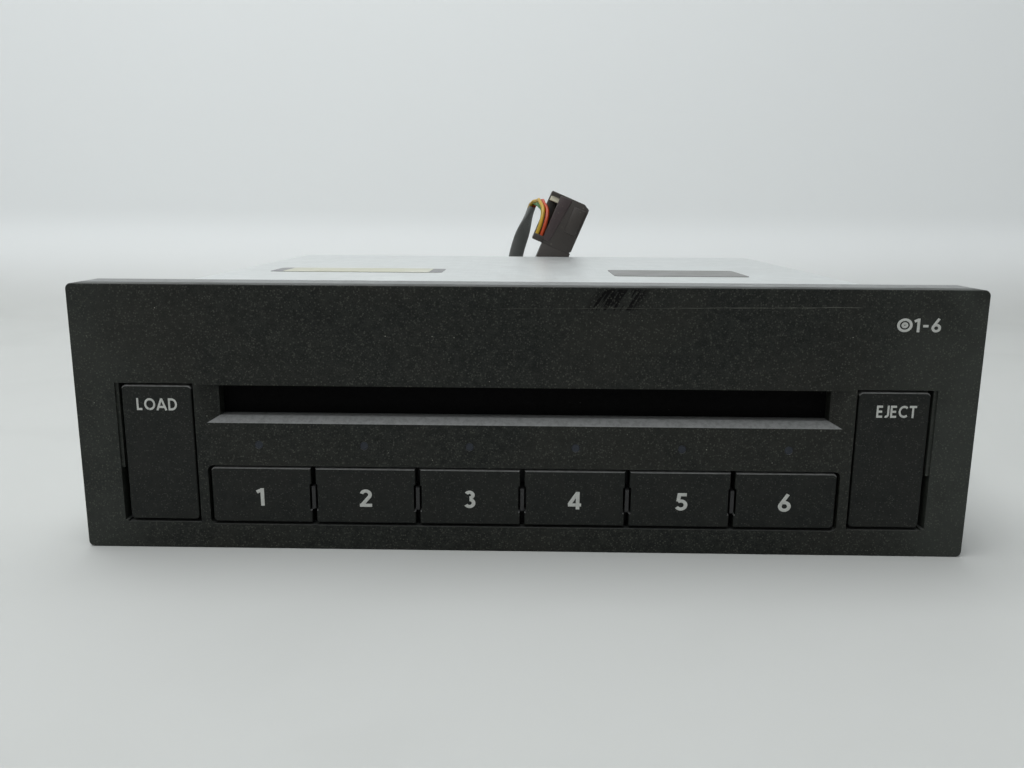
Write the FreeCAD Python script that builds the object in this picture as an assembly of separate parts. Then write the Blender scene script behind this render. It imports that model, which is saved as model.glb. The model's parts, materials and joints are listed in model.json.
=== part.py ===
"""In-dash compact disc changer: dark front bezel with a disc slot, six numbered keys and
two tall end keys, on a sheet metal case that holds the feed rollers, the disc trays with
their lift, and a play arm that swings in between the parted trays.

Millimetres. Sizes below are given from the bezel's front face (y = 0, back is +Y), from its
centre line (x = 0) and from its lower edge (z = 0). save() then moves the whole part, so that
the origin is at the bottom centre of the part without its rear lead.
"""
import FreeCAD
import Part
import math
import os

Vec = FreeCAD.Vector
X_AXIS = Vec(1, 0, 0)
Y_AXIS = Vec(0, 1, 0)
Z_AXIS = Vec(0, 0, 1)

# Driving dimensions of the outside
BEZEL_W = 188.0
BEZEL_H = 57.0
BEZEL_DEPTH = 12.0
BEZEL_PANEL = 3.0
BEZEL_WALL = 2.0
BEZEL_CORNER_R = 1.2
BEZEL_EDGE = 0.25
CASE_W = 178.0
CASE_H = 50.0
CASE_FRONT_Y = 10.0
CASE_BACK_Y = 177.0
CASE_BOTTOM_Z = 3.5
SHEET = 1.0
COVER_SHEET = 0.8
COVER_FLANGE = 12.0
PLATE_FLANGE = 14.0
REAR_FLANGE = 12.0
FLANGE_DROP = 1.0

# Clearances
KEY_GAP = 0.5
RUNNING_GAP = 0.05
SEAT_GAP = 0.3

# Keys
KEY_TRAVEL = 1.0
KEY_FACE_Y = 0.3
KEY_BACK_Y = 3.3
KEY_FLANGE = 0.6
KEY_FLANGE_LIP = 0.9
KEY_STEM_D = 2.4
KEY_EDGE = 0.35
DISC_KEY_COUNT = 6
END_KEY_CLEAR = 2.6
DISC_KEY_GAP = 0.9
DISC_KEY_Z0 = 5.9
DISC_KEY_Z1 = 18.1
POST_W = 0.75
POST_H = 4.9
POST_GAP = 0.475
POST_Z = 11.6
END_KEY_MARGIN = 9.7
END_KEY_TO_FLARE = 1.3
END_KEY_Z0 = 6.3
END_KEY_Z1 = 35.8
END_KEY_STEM_Z = 15.0
TOOL_SLOT_W = 1.2
TOOL_SLOT_Z0 = 6.2
TOOL_SLOT_Z1 = 17.9
STRIP_STEP = 0.4

# Disc slot and its sloped surround
SLOT_HALF_W = 64.2
SLOT_Z0 = 29.2
SLOT_Z1 = 36.0
LIP_Z = 27.9
LIP_TIP_OUT = 2.3
FLARE_OUT = 4.0
FLARE_DEPTH = 1.8
LEDGE_BACK_Y = 4.6
LEDGE_WALL = 1.5

# Front board, indicators and key carrier
BOARD_Y0 = 8.0
BOARD_Y1 = 9.2
BOARD_Z0 = 5.5
BOARD_Z1 = 27.5
SWITCH_SIDE = 6.0
SWITCH_T = 1.8
LAMP_Z = 23.2
LAMP_D = 1.7
LED_SIDE = 1.6
LED_T = 0.7
CARRIER_Y0 = 5.0
CARRIER_Y1 = 5.8
CARRIER_RIM = 1.2
BOSS_D = 5.0
BOSS_SHOULDER_D = 7.0
SCREW_HOLE_D = 2.0
BEZEL_SCREW_Z_LOW = 24.5
BEZEL_SCREW_X_HIGH = 60.0
BEZEL_SCREW_Z_HIGH = 49.0
SCREW_HEAD_D = 4.6
SCREW_HEAD_T = 1.6
SCREW_LENGTH = 5.5

# Dust flap behind the slot
FLAP_PIVOT_Y = 5.5
FLAP_PIVOT_Z = 38.0
FLAP_DRUM_D = 3.0
FLAP_PIN_D = 2.0
FLAP_T = 1.0
FLAP_DROP = 9.0
FLAP_OVERLAP = 1.0
FLAP_EAR_T = 2.0

# Discs, trays and their lift
DISC_R = 60.0
DISC_T = 1.2
DISC_Y = 100.0
DISC_PATH_Z = 32.5
TRAY_HALF_W = 62.0
TRAY_HALF_L = 62.0
TRAY_T = 1.6
TRAY_POCKET = 0.6
TRAY_PITCH = 3.6
TRAY_CORNER_R = 5.0
TRAY_WINDOW_HALF = 12.5
TRAY_WINDOW_REACH = 42.0
LOW_TRAY_Z = 14.9
LIFT_TRAVEL = 6.0
LIFT_SCREW_D = 6.0
LIFT_SCREW_X = 54.0
LIFT_SCREW_DY = 55.0
LIFT_PIVOT_D = 2.6
LIFT_BUSH_GAP = 0.3
LIFT_MODULE = 0.8
LIFT_TEETH = 12
LIFT_GEAR_Z = 6.6
LIFT_GEAR_T = 3.0
RACK_Z0 = 4.8
RACK_Z1 = 9.8
RACK_BAR = 3.0
RACK_TRAVEL = math.pi * LIFT_MODULE * LIFT_TEETH / 2
CROSS_Y0 = 98.0
CROSS_Y1 = 110.0
CROSS_T = 1.2

# Feed rollers and their drive
ROLLER_Y = 27.0
ROLLER_D = 7.0
ROLLER_X0 = 12.0
ROLLER_X1 = 60.0
ROLLER_DROP = 0.3
SHAFT_D = 3.0
BRACKET_T = 1.0
BRACKET_LEFT_X = 65.3
BRACKET_RIGHT_X = 63.2
BRACKET_Y0 = 20.0
BRACKET_Y1 = 34.0
BRACKET_TOP_Z = 38.0
BRACKET_FOOT = 8.0
IDLER_LUG = 4.0
MOTOR_LUG = 8.0
GUIDE_CLEAR = 0.7
GUIDE_T = 2.0
GUIDE_Y0 = 15.0
DRIVE_MODULE = 0.6
ROLLER_TEETH = 20
IDLER_TEETH = 30
PINION_TEETH = 10
GEAR_T = 3.0
GEAR_SIDE_GAP = 1.2
IDLER_DY = 0.8
IDLER_DZ = -0.6
MOTOR_DY = 0.96
MOTOR_DZ = 0.28
LOAD_MOTOR_D = 24.4
LOAD_MOTOR_L = 12.3
MOTOR_PLATE_X = 73.9
MOTOR_SHAFT_D = 2.0
MOTOR_BOSS_D = 6.0

# Play arm, parked along the right wall
ARM_X = 75.5
ARM_Y = 152.0
ARM_HALF_W = 10.5
ARM_Z = 27.0
ARM_T = 1.2
ARM_SLOT_HALF = 4.0
HUB_D = 14.0
HUB_TOP_Z = 31.0
POST_D = 6.0
POST_HEAD_D = 9.0
POST_HEAD_T = 1.5
POST_TOP_Z = 36.0
SECTOR_TEETH = 40
SECTOR_T = 1.8
SECTOR_BEFORE = 1.5
SECTOR_AFTER = 8.5
SWING_TEETH = 10
SWING_DX = -0.28
SWING_DY = 0.96
SWING_MOTOR_D = 9.0
SPINDLE_MOTOR_D = 20.0
SPINDLE_MOTOR_T = 5.0
TURNTABLE_D = 21.0
TURNTABLE_T = 1.6
TURNTABLE_GAP = 0.5
TURNTABLE_HUB_D = 14.6
TURNTABLE_HUB_T = 1.2
SLED_NEAR = 23.0
SLED_FAR = 58.0
SLED_L = 14.0
SLED_Z0 = 28.9
SLED_Z1 = 33.0
ROD_D = 2.0
ROD_OFFSET = 7.0
ROD_Z = 30.8
SLED_SCREW_D = 2.4
SLED_MOTOR_D = 5.0
SLED_MOTOR_L = 9.0
LENS_D = 4.0

# Latches at the sides, worked by the release tools
LATCH_X = 85.0
LATCH_PIVOT_Y = 33.0
LATCH_T = 1.0
LATCH_Z0 = 6.5
LATCH_Z1 = 17.5
LATCH_EYE_D = 4.0
LATCH_PIN_D = 2.0
LATCH_FRONT_Y = 13.0
HOOK_Y0 = 14.0
HOOK_Y1 = 19.0
HOOK_Z0 = 8.0
HOOK_Z1 = 16.0
HOOK_OUT = 90.8

# Rear panel, its stud and socket, and the side screw holes
STUD_D = 5.0
STUD_L = 12.0
STUD_X = -45.0
STUD_Z = 30.0
SOCKET_X = 14.0
SOCKET_Z = 35.5
SOCKET_W = 26.0
SOCKET_H = 14.0
SOCKET_PROUD = 9.0
SOCKET_WALL = 2.0
SOCKET_BACK = 1.0
SOCKET_PIN = 0.8
SOCKET_PIN_L = 5.0
SOCKET_PIN_PITCH = 2.5
SOCKET_PIN_ROWS = 2
SOCKET_PINS_PER_ROW = 8
SIDE_HOLE_D = 4.2
SIDE_HOLE_Y = 110.0
SIDE_HOLE_Z = 15.0
SIDE_PITCH_Y = 70.0
SIDE_PITCH_Z = 12.0
CASE_SCREW_D = 2.5

# Main board on its standoffs
MAIN_HALF_W = 40.0
MAIN_Y0 = 58.0
MAIN_Y1 = 168.0
MAIN_Z = 8.0
MAIN_T = 1.6
STANDOFF_D = 5.0
STANDOFF_INSET = 4.0
MAIN_CHIP_H = 2.2

# Rear lead: sleeve, wires and the connector on its end
SLEEVE_D = 6.3
GROMMET_X = -6.0
GROMMET_Z = 18.0
GROMMET_D = 11.0
GROMMET_TIP_D = 8.0
GROMMET_OUT = 9.0
GROMMET_FLANGE = 1.5
WIRE_D = 1.5
WIRE_COUNT = 4
WIRE_SUNK = 1.5
CONNECTOR_W = 16.6
CONNECTOR_L = 33.0
CONNECTOR_D = 13.0
CONNECTOR_TILT = 23.0
CONNECTOR_FOOT_X = 12.9
CONNECTOR_STEP = 4.5
CONNECTOR_BACK_STEP = 1.2
CONNECTOR_COLLAR = 12.5
CONNECTOR_CHAMFER = 2.5
LATCH_BAR_W = 6.0
LATCH_BAR_T = 2.0
WIRE_BAY_Z0 = 15.0
WIRE_BAY_Z1 = 29.5
WIRE_BAY_W = 4.2
WIRE_BAY_DEPTH = 10.0
WIRE_SPACE = 1.9
SLEEVE_ROUTE = [
    Vec(-6.0, 186.0, 18.0),
    Vec(-6.0, 197.5, 18.0),
    Vec(-6.2, 209.1, 24.8),
    Vec(-6.0, 216.1, 37.1),
    Vec(-4.9, 215.0, 51.0),
    Vec(-1.4, 211.0, 62.4),
    Vec(2.7, 205.5, 74.0),
]

# Places that follow from the sizes above
OVERALL_DEPTH = CASE_BACK_Y + STUD_L
CASE_HALF = CASE_W / 2
CASE_TOP_Z = CASE_BOTTOM_Z + CASE_H
WALL_OUT = CASE_HALF - COVER_SHEET
WALL_IN = WALL_OUT - SHEET
FLOOR_Z = CASE_BOTTOM_Z + SHEET
LID_Z = CASE_TOP_Z - COVER_SHEET
REAR_Y = CASE_BACK_Y - SHEET
PLATE_BACK_Y = CASE_FRONT_Y + SHEET
LIP_TIP_X = SLOT_HALF_W + LIP_TIP_OUT
FLARE_X = SLOT_HALF_W + FLARE_OUT
FLAP_HALF_W = SLOT_HALF_W + FLAP_OVERLAP
END_KEY_X0 = FLARE_X + END_KEY_TO_FLARE
END_KEY_X1 = BEZEL_W / 2 - END_KEY_MARGIN
TOOL_SLOT_X = END_KEY_X1 + TOOL_SLOT_W
ROW_HALF = END_KEY_X0 - END_KEY_CLEAR
DISC_KEY_PITCH = 2 * ROW_HALF / DISC_KEY_COUNT
BEZEL_SCREW_X_LOW = 2 * DISC_KEY_PITCH
BOARD_HALF_W = END_KEY_X1
ROLLER_Z = DISC_PATH_Z - ROLLER_DROP - ROLLER_D / 2
GEAR_RIGHT_X = -BRACKET_LEFT_X - GEAR_SIDE_GAP
DISC_KEY_XS = [-ROW_HALF + DISC_KEY_PITCH * (i + 0.5) for i in range(DISC_KEY_COUNT)]
LIFT_SCREW_YS = [DISC_Y - LIFT_SCREW_DY, DISC_Y + LIFT_SCREW_DY]
HIGH_TRAY_Z = LOW_TRAY_Z + 3 * TRAY_PITCH + 2 * LIFT_TRAVEL
SLED_MOTOR_AT = SLED_FAR + SLED_L / 2 + 2.5
ARM_REACH = math.hypot(ARM_X, ARM_Y - DISC_Y)
SPINDLE_Y = ARM_Y - ARM_REACH


def block(x0, x1, y0, y1, z0, z1):
    """A box from its corner coordinates, in any order."""
    low = Vec(min(x0, x1), min(y0, y1), min(z0, z1))
    return Part.makeBox(abs(x1 - x0), abs(y1 - y0), abs(z1 - z0), low)


def rod(diameter, length, start, direction):
    """A round rod from start along direction."""
    return Part.makeCylinder(diameter / 2, length, start, direction)


def fused(shapes):
    """One solid from several that touch or overlap."""
    whole = shapes[0].fuse(shapes[1:])
    return whole.removeSplitter()


def polygon_prism(points, direction):
    """A straight prism over a closed outline of points."""
    outline = Part.makePolygon(points + [points[0]])
    return Part.Face(outline).extrude(direction)


def edges_along(shape, axis, test):
    """The straight edges that run along axis and whose middle passes test."""
    found = []
    for edge in shape.Edges:
        if not isinstance(edge.Curve, Part.Line):
            continue
        if abs(abs(edge.tangentAt(edge.FirstParameter).dot(axis)) - 1) > 1e-6:
            continue
        middle = edge.valueAt((edge.FirstParameter + edge.LastParameter) / 2)
        if test(middle):
            found.append(edge)
    return found


def front_edges(shape, y):
    """All edges that lie in the plane y."""
    return [e for e in shape.Edges if abs(e.BoundBox.YMin - y) < 1e-6 and abs(e.BoundBox.YMax - y) < 1e-6]


def mirrored(shape):
    """The same piece on the other side of the centre line."""
    return shape.mirror(Vec(0, 0, 0), X_AXIS)


def save(node, shapes):
    """Writes the node's solids with the origin at the part's bottom centre."""
    solids = []
    for shape in shapes:
        for solid in shape.Solids:
            if not solid.isValid() or solid.Volume <= 0:
                raise ValueError("bad solid in " + node)
            solids.append(solid)
    whole = solids[0] if len(solids) == 1 else Part.makeCompound(solids)
    moved = whole.translated(Vec(0, -OVERALL_DEPTH / 2, 0))
    moved.exportStep("parts/" + node + ".step")


def tooth_outline(module, teeth, thinning):
    """One involute tooth, pointing along +X, from root to tip and back."""
    pitch_r = module * teeth / 2
    tip_r = pitch_r + module
    root_r = pitch_r - 1.25 * module
    pressure = math.radians(20)
    base_r = pitch_r * math.cos(pressure)
    half = math.pi / (2 * teeth) - thinning / (2 * pitch_r)
    spread = math.tan(pressure) - pressure
    start_r = max(base_r, root_r)
    flank = []
    for step in range(5):
        r = start_r + (tip_r - start_r) * step / 4
        roll = math.acos(min(1.0, base_r / r))
        angle = half + spread - (math.tan(roll) - roll)
        flank.append((r, angle))
    if root_r < start_r:
        flank.insert(0, (root_r, flank[0][1]))
    lower = [(r, -angle) for r, angle in flank]
    return lower + flank[::-1]


def spur_gear(module, teeth, width, bore_d, first_tooth, thinning=0.12):
    """A spur gear about the local Z axis, its first tooth at the given angle in degrees."""
    points = []
    for tooth in range(teeth):
        turn = math.radians(first_tooth) + 2 * math.pi * tooth / teeth
        for r, angle in tooth_outline(module, teeth, thinning):
            points.append(Vec(r * math.cos(turn + angle), r * math.sin(turn + angle), 0))
    gear = polygon_prism(points, Vec(0, 0, width))
    if bore_d:
        gear = gear.cut(rod(bore_d, width, Vec(0, 0, 0), Z_AXIS))
    return gear


def laid_along_x(shape, x, y, z):
    """Turns a gear's local Z axis to +X and its local X axis to +Y, and puts it at x, y, z."""
    turned = shape.copy()
    turned.rotate(Vec(0, 0, 0), Vec(1, 1, 1), 120)
    turned.translate(Vec(x, y, z))
    return turned


def disc_slot_cut():
    """The slot through the panel with its flared ends and sloped lower lip."""
    front = [
        Vec(-FLARE_X, 0, SLOT_Z1),
        Vec(FLARE_X, 0, SLOT_Z1),
        Vec(LIP_TIP_X, 0, LIP_Z),
        Vec(-LIP_TIP_X, 0, LIP_Z),
    ]
    inner = [
        Vec(-SLOT_HALF_W, FLARE_DEPTH, SLOT_Z1),
        Vec(SLOT_HALF_W, FLARE_DEPTH, SLOT_Z1),
        Vec(SLOT_HALF_W, FLARE_DEPTH, SLOT_Z0),
        Vec(-SLOT_HALF_W, FLARE_DEPTH, SLOT_Z0),
    ]
    rings = [Part.makePolygon(ring + [ring[0]]) for ring in (front, inner)]
    flare = Part.makeLoft(rings, True, True)
    through = block(-SLOT_HALF_W, SLOT_HALF_W, FLARE_DEPTH - 0.5, LEDGE_BACK_Y, SLOT_Z0, SLOT_Z1)
    return flare.fuse(through)


def slot_frame():
    """The deeper frame behind the slot, whose floor is the ledge in front of the flap."""
    half = SLOT_HALF_W + LEDGE_WALL / 2
    return block(-half, half, BEZEL_PANEL, LEDGE_BACK_Y, SLOT_Z0 - LEDGE_WALL, SLOT_Z1)


def end_key_cut():
    """The opening of the left end key, with the release tool's slot and the stepped strip."""
    x0 = -END_KEY_X1 - KEY_GAP
    x1 = -END_KEY_X0 + KEY_GAP
    opening = block(x0, x1, 0, BEZEL_PANEL, END_KEY_Z0 - KEY_GAP, END_KEY_Z1 + KEY_GAP)
    tool = block(-TOOL_SLOT_X, x0, 0, BEZEL_PANEL, TOOL_SLOT_Z0, TOOL_SLOT_Z1)
    strip = block(-TOOL_SLOT_X, x0, 0, STRIP_STEP, TOOL_SLOT_Z1, END_KEY_Z1 + KEY_GAP)
    return opening.fuse([tool, strip])


def key_row_cut():
    """The one opening that all disc keys share."""
    half = ROW_HALF - DISC_KEY_GAP / 2 + KEY_GAP
    row = block(-half, half, 0, BEZEL_PANEL, DISC_KEY_Z0 - KEY_GAP, DISC_KEY_Z1 + KEY_GAP)
    corners = edges_along(row, Y_AXIS, lambda p: True)
    return row.makeFillet(1.2, corners)


def bezel_bosses():
    """Screw bosses behind the panel, the lower ones with a shoulder for the front board."""
    bosses = []
    for side in (-1, 1):
        low = Vec(side * BEZEL_SCREW_X_LOW, BEZEL_PANEL, BEZEL_SCREW_Z_LOW)
        high = Vec(side * BEZEL_SCREW_X_HIGH, BEZEL_PANEL, BEZEL_SCREW_Z_HIGH)
        reach = CASE_FRONT_Y - BEZEL_PANEL
        bosses.append(rod(BOSS_D, reach, low, Y_AXIS))
        bosses.append(rod(BOSS_SHOULDER_D, BOARD_Y0 - BEZEL_PANEL, low, Y_AXIS))
        bosses.append(rod(BOSS_D, reach, high, Y_AXIS))
    return bosses


def flap_ears():
    """Ears behind the panel that hold the flap's pins."""
    ears = []
    for side in (-1, 1):
        x0 = side * (FLAP_HALF_W + SEAT_GAP)
        x1 = side * (FLAP_HALF_W + SEAT_GAP + FLAP_EAR_T)
        ear = block(x0, x1, BEZEL_PANEL, FLAP_PIVOT_Y + 2.5, FLAP_PIVOT_Z - 1.0, FLAP_PIVOT_Z + 4)
        ears.append(ear)
    return ears


def bezel():
    """Front panel with walls round it and a rear rim that frames the case."""
    outer = block(-BEZEL_W / 2, BEZEL_W / 2, 0, BEZEL_DEPTH, 0, BEZEL_H)
    corners = edges_along(outer, Y_AXIS, lambda p: True)
    outer = outer.makeFillet(BEZEL_CORNER_R, corners)
    outer = outer.makeFillet(BEZEL_EDGE, front_edges(outer, 0))
    inner_w = BEZEL_W / 2 - BEZEL_WALL
    seat_y = BEZEL_DEPTH - BEZEL_WALL
    hollow = block(-inner_w, inner_w, BEZEL_PANEL, seat_y, BEZEL_WALL, BEZEL_H - BEZEL_WALL)
    case_w = CASE_HALF + SEAT_GAP
    case_z = (CASE_BOTTOM_Z - SEAT_GAP, CASE_TOP_Z + SEAT_GAP)
    case_opening = block(-case_w, case_w, seat_y, BEZEL_DEPTH, *case_z)
    inside = bezel_bosses() + flap_ears() + [slot_frame()]
    shell = outer.cut([hollow, case_opening]).fuse(inside).removeSplitter()
    cuts = [disc_slot_cut(), key_row_cut(), end_key_cut(), mirrored(end_key_cut())]
    for x in DISC_KEY_XS:
        cuts.append(rod(LAMP_D + 2 * RUNNING_GAP, BEZEL_PANEL, Vec(x, 0, LAMP_Z), Y_AXIS))
    for side in (-1, 1):
        for x, z in ((BEZEL_SCREW_X_LOW, BEZEL_SCREW_Z_LOW), (BEZEL_SCREW_X_HIGH, BEZEL_SCREW_Z_HIGH)):
            start = Vec(side * x, CASE_FRONT_Y, z)
            cuts.append(rod(SCREW_HOLE_D, SCREW_LENGTH - SHEET + SEAT_GAP, start, -Y_AXIS))
        pin = Vec(side * (FLAP_HALF_W - 1), FLAP_PIVOT_Y, FLAP_PIVOT_Z)
        cuts.append(rod(FLAP_PIN_D + 2 * RUNNING_GAP, 5, pin, X_AXIS * side))
    return shell.cut(cuts)


def key_cap(x0, x1, z0, z1, rounded):
    """A key's cap with its rounded corners and softened front edge."""
    cap = block(x0, x1, KEY_FACE_Y, KEY_BACK_Y, z0, z1)
    corners = edges_along(cap, Y_AXIS, rounded)
    if corners:
        cap = cap.makeFillet(1.0, corners)
    return cap.makeFillet(KEY_EDGE, front_edges(cap, KEY_FACE_Y))


def key_stem(x, z):
    """The stem that reaches through the carrier into the switch, with its collar."""
    tip = BOARD_Y0 - KEY_TRAVEL - 0.2
    stem = rod(KEY_STEM_D, tip - KEY_BACK_Y + 0.5, Vec(x, KEY_BACK_Y - 0.5, z), Y_AXIS)
    return stem


def disc_key(index):
    """One numbered key; the posts between the keys stand in notches in its sides."""
    x = DISC_KEY_XS[index]
    x0 = x - DISC_KEY_PITCH / 2 + DISC_KEY_GAP / 2
    x1 = x + DISC_KEY_PITCH / 2 - DISC_KEY_GAP / 2
    first = index == 0
    last = index == DISC_KEY_COUNT - 1
    cap = key_cap(x0, x1, DISC_KEY_Z0, DISC_KEY_Z1, lambda p: (p.x < x) if first else (last and p.x > x))
    lip_z0 = DISC_KEY_Z0 - KEY_FLANGE_LIP
    lip_z1 = DISC_KEY_Z1 + KEY_FLANGE_LIP
    lip = block(x0, x1, KEY_BACK_Y, KEY_BACK_Y + KEY_FLANGE, lip_z0, lip_z1)
    key = fused([cap, lip, key_stem(x, POST_Z)])
    notch_half = POST_W / 2 + POST_GAP
    for side in (-1, 1):
        if (first and side < 0) or (last and side > 0):
            continue
        edge = x + side * DISC_KEY_PITCH / 2
        z0 = POST_Z - POST_H / 2 - POST_GAP
        z1 = POST_Z + POST_H / 2 + POST_GAP
        key = key.cut(block(edge - notch_half, edge + notch_half, 0, CARRIER_Y0, z0, z1))
    return key


def end_key():
    """The tall key at the left end; the right one is its mirror image."""
    cap = key_cap(-END_KEY_X1, -END_KEY_X0, END_KEY_Z0, END_KEY_Z1, lambda p: True)
    lip_z0 = END_KEY_Z0 - KEY_FLANGE_LIP
    lip_z1 = END_KEY_Z1 + KEY_FLANGE_LIP
    lip = block(-END_KEY_X1 + 1, -END_KEY_X0 - 1, KEY_BACK_Y, KEY_BACK_Y + KEY_FLANGE, lip_z0, lip_z1)
    return fused([cap, lip, key_stem(-(END_KEY_X0 + END_KEY_X1) / 2, END_KEY_STEM_Z)])


def stem_places():
    """Where the key stems reach the board: x and z of each."""
    end_x = (END_KEY_X0 + END_KEY_X1) / 2
    places = [(x, POST_Z) for x in DISC_KEY_XS]
    return places + [(-end_x, END_KEY_STEM_Z), (end_x, END_KEY_STEM_Z)]


def key_carrier():
    """Plate behind the keys with a rim that seats on the panel, posts and stem holes."""
    z0 = DISC_KEY_Z0 - KEY_FLANGE_LIP - SEAT_GAP - CARRIER_RIM
    z1 = DISC_KEY_Z1 + KEY_FLANGE_LIP + SEAT_GAP + CARRIER_RIM
    half = END_KEY_X1 - 1
    pieces = [block(-half, half, CARRIER_Y0, CARRIER_Y1, z0, z1)]
    row = ROW_HALF + SEAT_GAP
    for rim_z0, rim_z1 in ((z0, z0 + CARRIER_RIM), (z1 - CARRIER_RIM, z1)):
        pieces.append(block(-row, row, BEZEL_PANEL, CARRIER_Y0, rim_z0, rim_z1))
    for gap in range(1, DISC_KEY_COUNT):
        x = -ROW_HALF + gap * DISC_KEY_PITCH
        post_z0 = POST_Z - POST_H / 2
        x0, x1 = x - POST_W / 2, x + POST_W / 2
        pieces.append(block(x0, x1, KEY_FACE_Y, CARRIER_Y0, post_z0, post_z0 + POST_H))
    carrier = fused(pieces)
    hole_d = KEY_STEM_D + 2 * SEAT_GAP
    holes = [rod(hole_d, CARRIER_Y1, Vec(x, 0, z), Y_AXIS) for x, z in stem_places()]
    return carrier.cut(holes)


def light_guides():
    """Clear pins from the lamps to the panel's face."""
    length = BOARD_Y0 - LED_T - SEAT_GAP - 0.1
    return [rod(LAMP_D, length, Vec(x, 0.1, LAMP_Z), Y_AXIS) for x in DISC_KEY_XS]


def front_leds():
    """The lamps on the front board."""
    half = LED_SIDE / 2
    return [block(x - half, x + half, BOARD_Y0 - LED_T, BOARD_Y0, LAMP_Z - half, LAMP_Z + half)
            for x in DISC_KEY_XS]


def key_switches():
    """Switch bodies on the board, each open to take a key's stem."""
    switches = []
    half = SWITCH_SIDE / 2
    for x, z in stem_places():
        body = block(x - half, x + half, BOARD_Y0 - SWITCH_T, BOARD_Y0, z - half, z + half)
        mouth = Vec(x, BOARD_Y0 - SWITCH_T, z)
        switches.append(body.cut(rod(KEY_STEM_D + 2 * SEAT_GAP, SWITCH_T, mouth, Y_AXIS)))
    return switches


def front_board():
    """Circuit board on the lower bosses' shoulders, with the lamps soldered to it."""
    board = block(-BOARD_HALF_W, BOARD_HALF_W, BOARD_Y0, BOARD_Y1, BOARD_Z0, BOARD_Z1)
    board = fused([board] + front_leds())
    for side in (-1, 1):
        place = Vec(side * BEZEL_SCREW_X_LOW, BOARD_Y0, BEZEL_SCREW_Z_LOW)
        board = board.cut(rod(BOSS_D + 2 * SEAT_GAP, BOARD_Y1, place, Y_AXIS))
    return board


def slot_flap():
    """Dust flap that hangs on its pins behind the slot."""
    y = FLAP_PIVOT_Y
    z = FLAP_PIVOT_Z
    pin_reach = FLAP_HALF_W + SEAT_GAP + FLAP_EAR_T
    drum = rod(FLAP_DRUM_D, 2 * FLAP_HALF_W, Vec(-FLAP_HALF_W, y, z), X_AXIS)
    pins = rod(FLAP_PIN_D, 2 * pin_reach, Vec(-pin_reach, y, z), X_AXIS)
    blade = block(-FLAP_HALF_W, FLAP_HALF_W, y - FLAP_T / 2, y + FLAP_T / 2, z - FLAP_DROP, z)
    return fused([drum, pins, blade])


def bezel_screw_places():
    """Screw places through the front plate into the bezel: x and z of each."""
    low = [(side * BEZEL_SCREW_X_LOW, BEZEL_SCREW_Z_LOW) for side in (-1, 1)]
    high = [(side * BEZEL_SCREW_X_HIGH, BEZEL_SCREW_Z_HIGH) for side in (-1, 1)]
    return low + high


def bezel_screws():
    """Screws from inside the case through the front plate into the bezel's bosses."""
    screws = []
    for x, z in bezel_screw_places():
        shank = rod(SCREW_HOLE_D, SCREW_LENGTH, Vec(x, PLATE_BACK_Y, z), -Y_AXIS)
        head = rod(SCREW_HEAD_D, SCREW_HEAD_T, Vec(x, PLATE_BACK_Y, z), Y_AXIS)
        screws.append(fused([shank, head]))
    return screws


def case_screw_places():
    """Screws through the cover's side flanges: side, y and z of each."""
    z = CASE_TOP_Z - COVER_FLANGE / 2
    return [(side, y, z) for side in (-1, 1) for y in (CASE_FRONT_Y + 8, CASE_BACK_Y - 8)]


def case_screws():
    """Flat-headed screws that hold the cover's flanges to the chassis walls."""
    screws = []
    for side, y, z in case_screw_places():
        outwards = X_AXIS * side
        head = rod(CASE_SCREW_D * 1.8, 0.6, Vec(side * CASE_HALF, y, z), outwards)
        shank = rod(CASE_SCREW_D, COVER_SHEET + SHEET + 1, Vec(side * CASE_HALF, y, z), -outwards)
        screws.append(fused([head, shank]))
    return screws


def case_screw_holes(diameter):
    """Cutters for the case screws."""
    return [rod(diameter, 8, Vec(side * (CASE_HALF + 1), y, z), -X_AXIS * side)
            for side, y, z in case_screw_places()]


def side_holes():
    """Cutters for the screw holes by which the unit is bracketed at its sides."""
    cutters = []
    for dy in (-SIDE_PITCH_Y / 2, SIDE_PITCH_Y / 2):
        for dz in (-SIDE_PITCH_Z / 2, SIDE_PITCH_Z / 2):
            start = Vec(-CASE_HALF, SIDE_HOLE_Y + dy, SIDE_HOLE_Z + dz)
            cutters.append(rod(SIDE_HOLE_D, CASE_W, start, X_AXIS))
    return cutters


def standoff_places():
    """Corners of the main board where it is held: x and y of each."""
    x = MAIN_HALF_W - STANDOFF_INSET
    ys = (MAIN_Y0 + STANDOFF_INSET, MAIN_Y1 - STANDOFF_INSET)
    return [(side * x, y) for side in (-1, 1) for y in ys]


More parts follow.
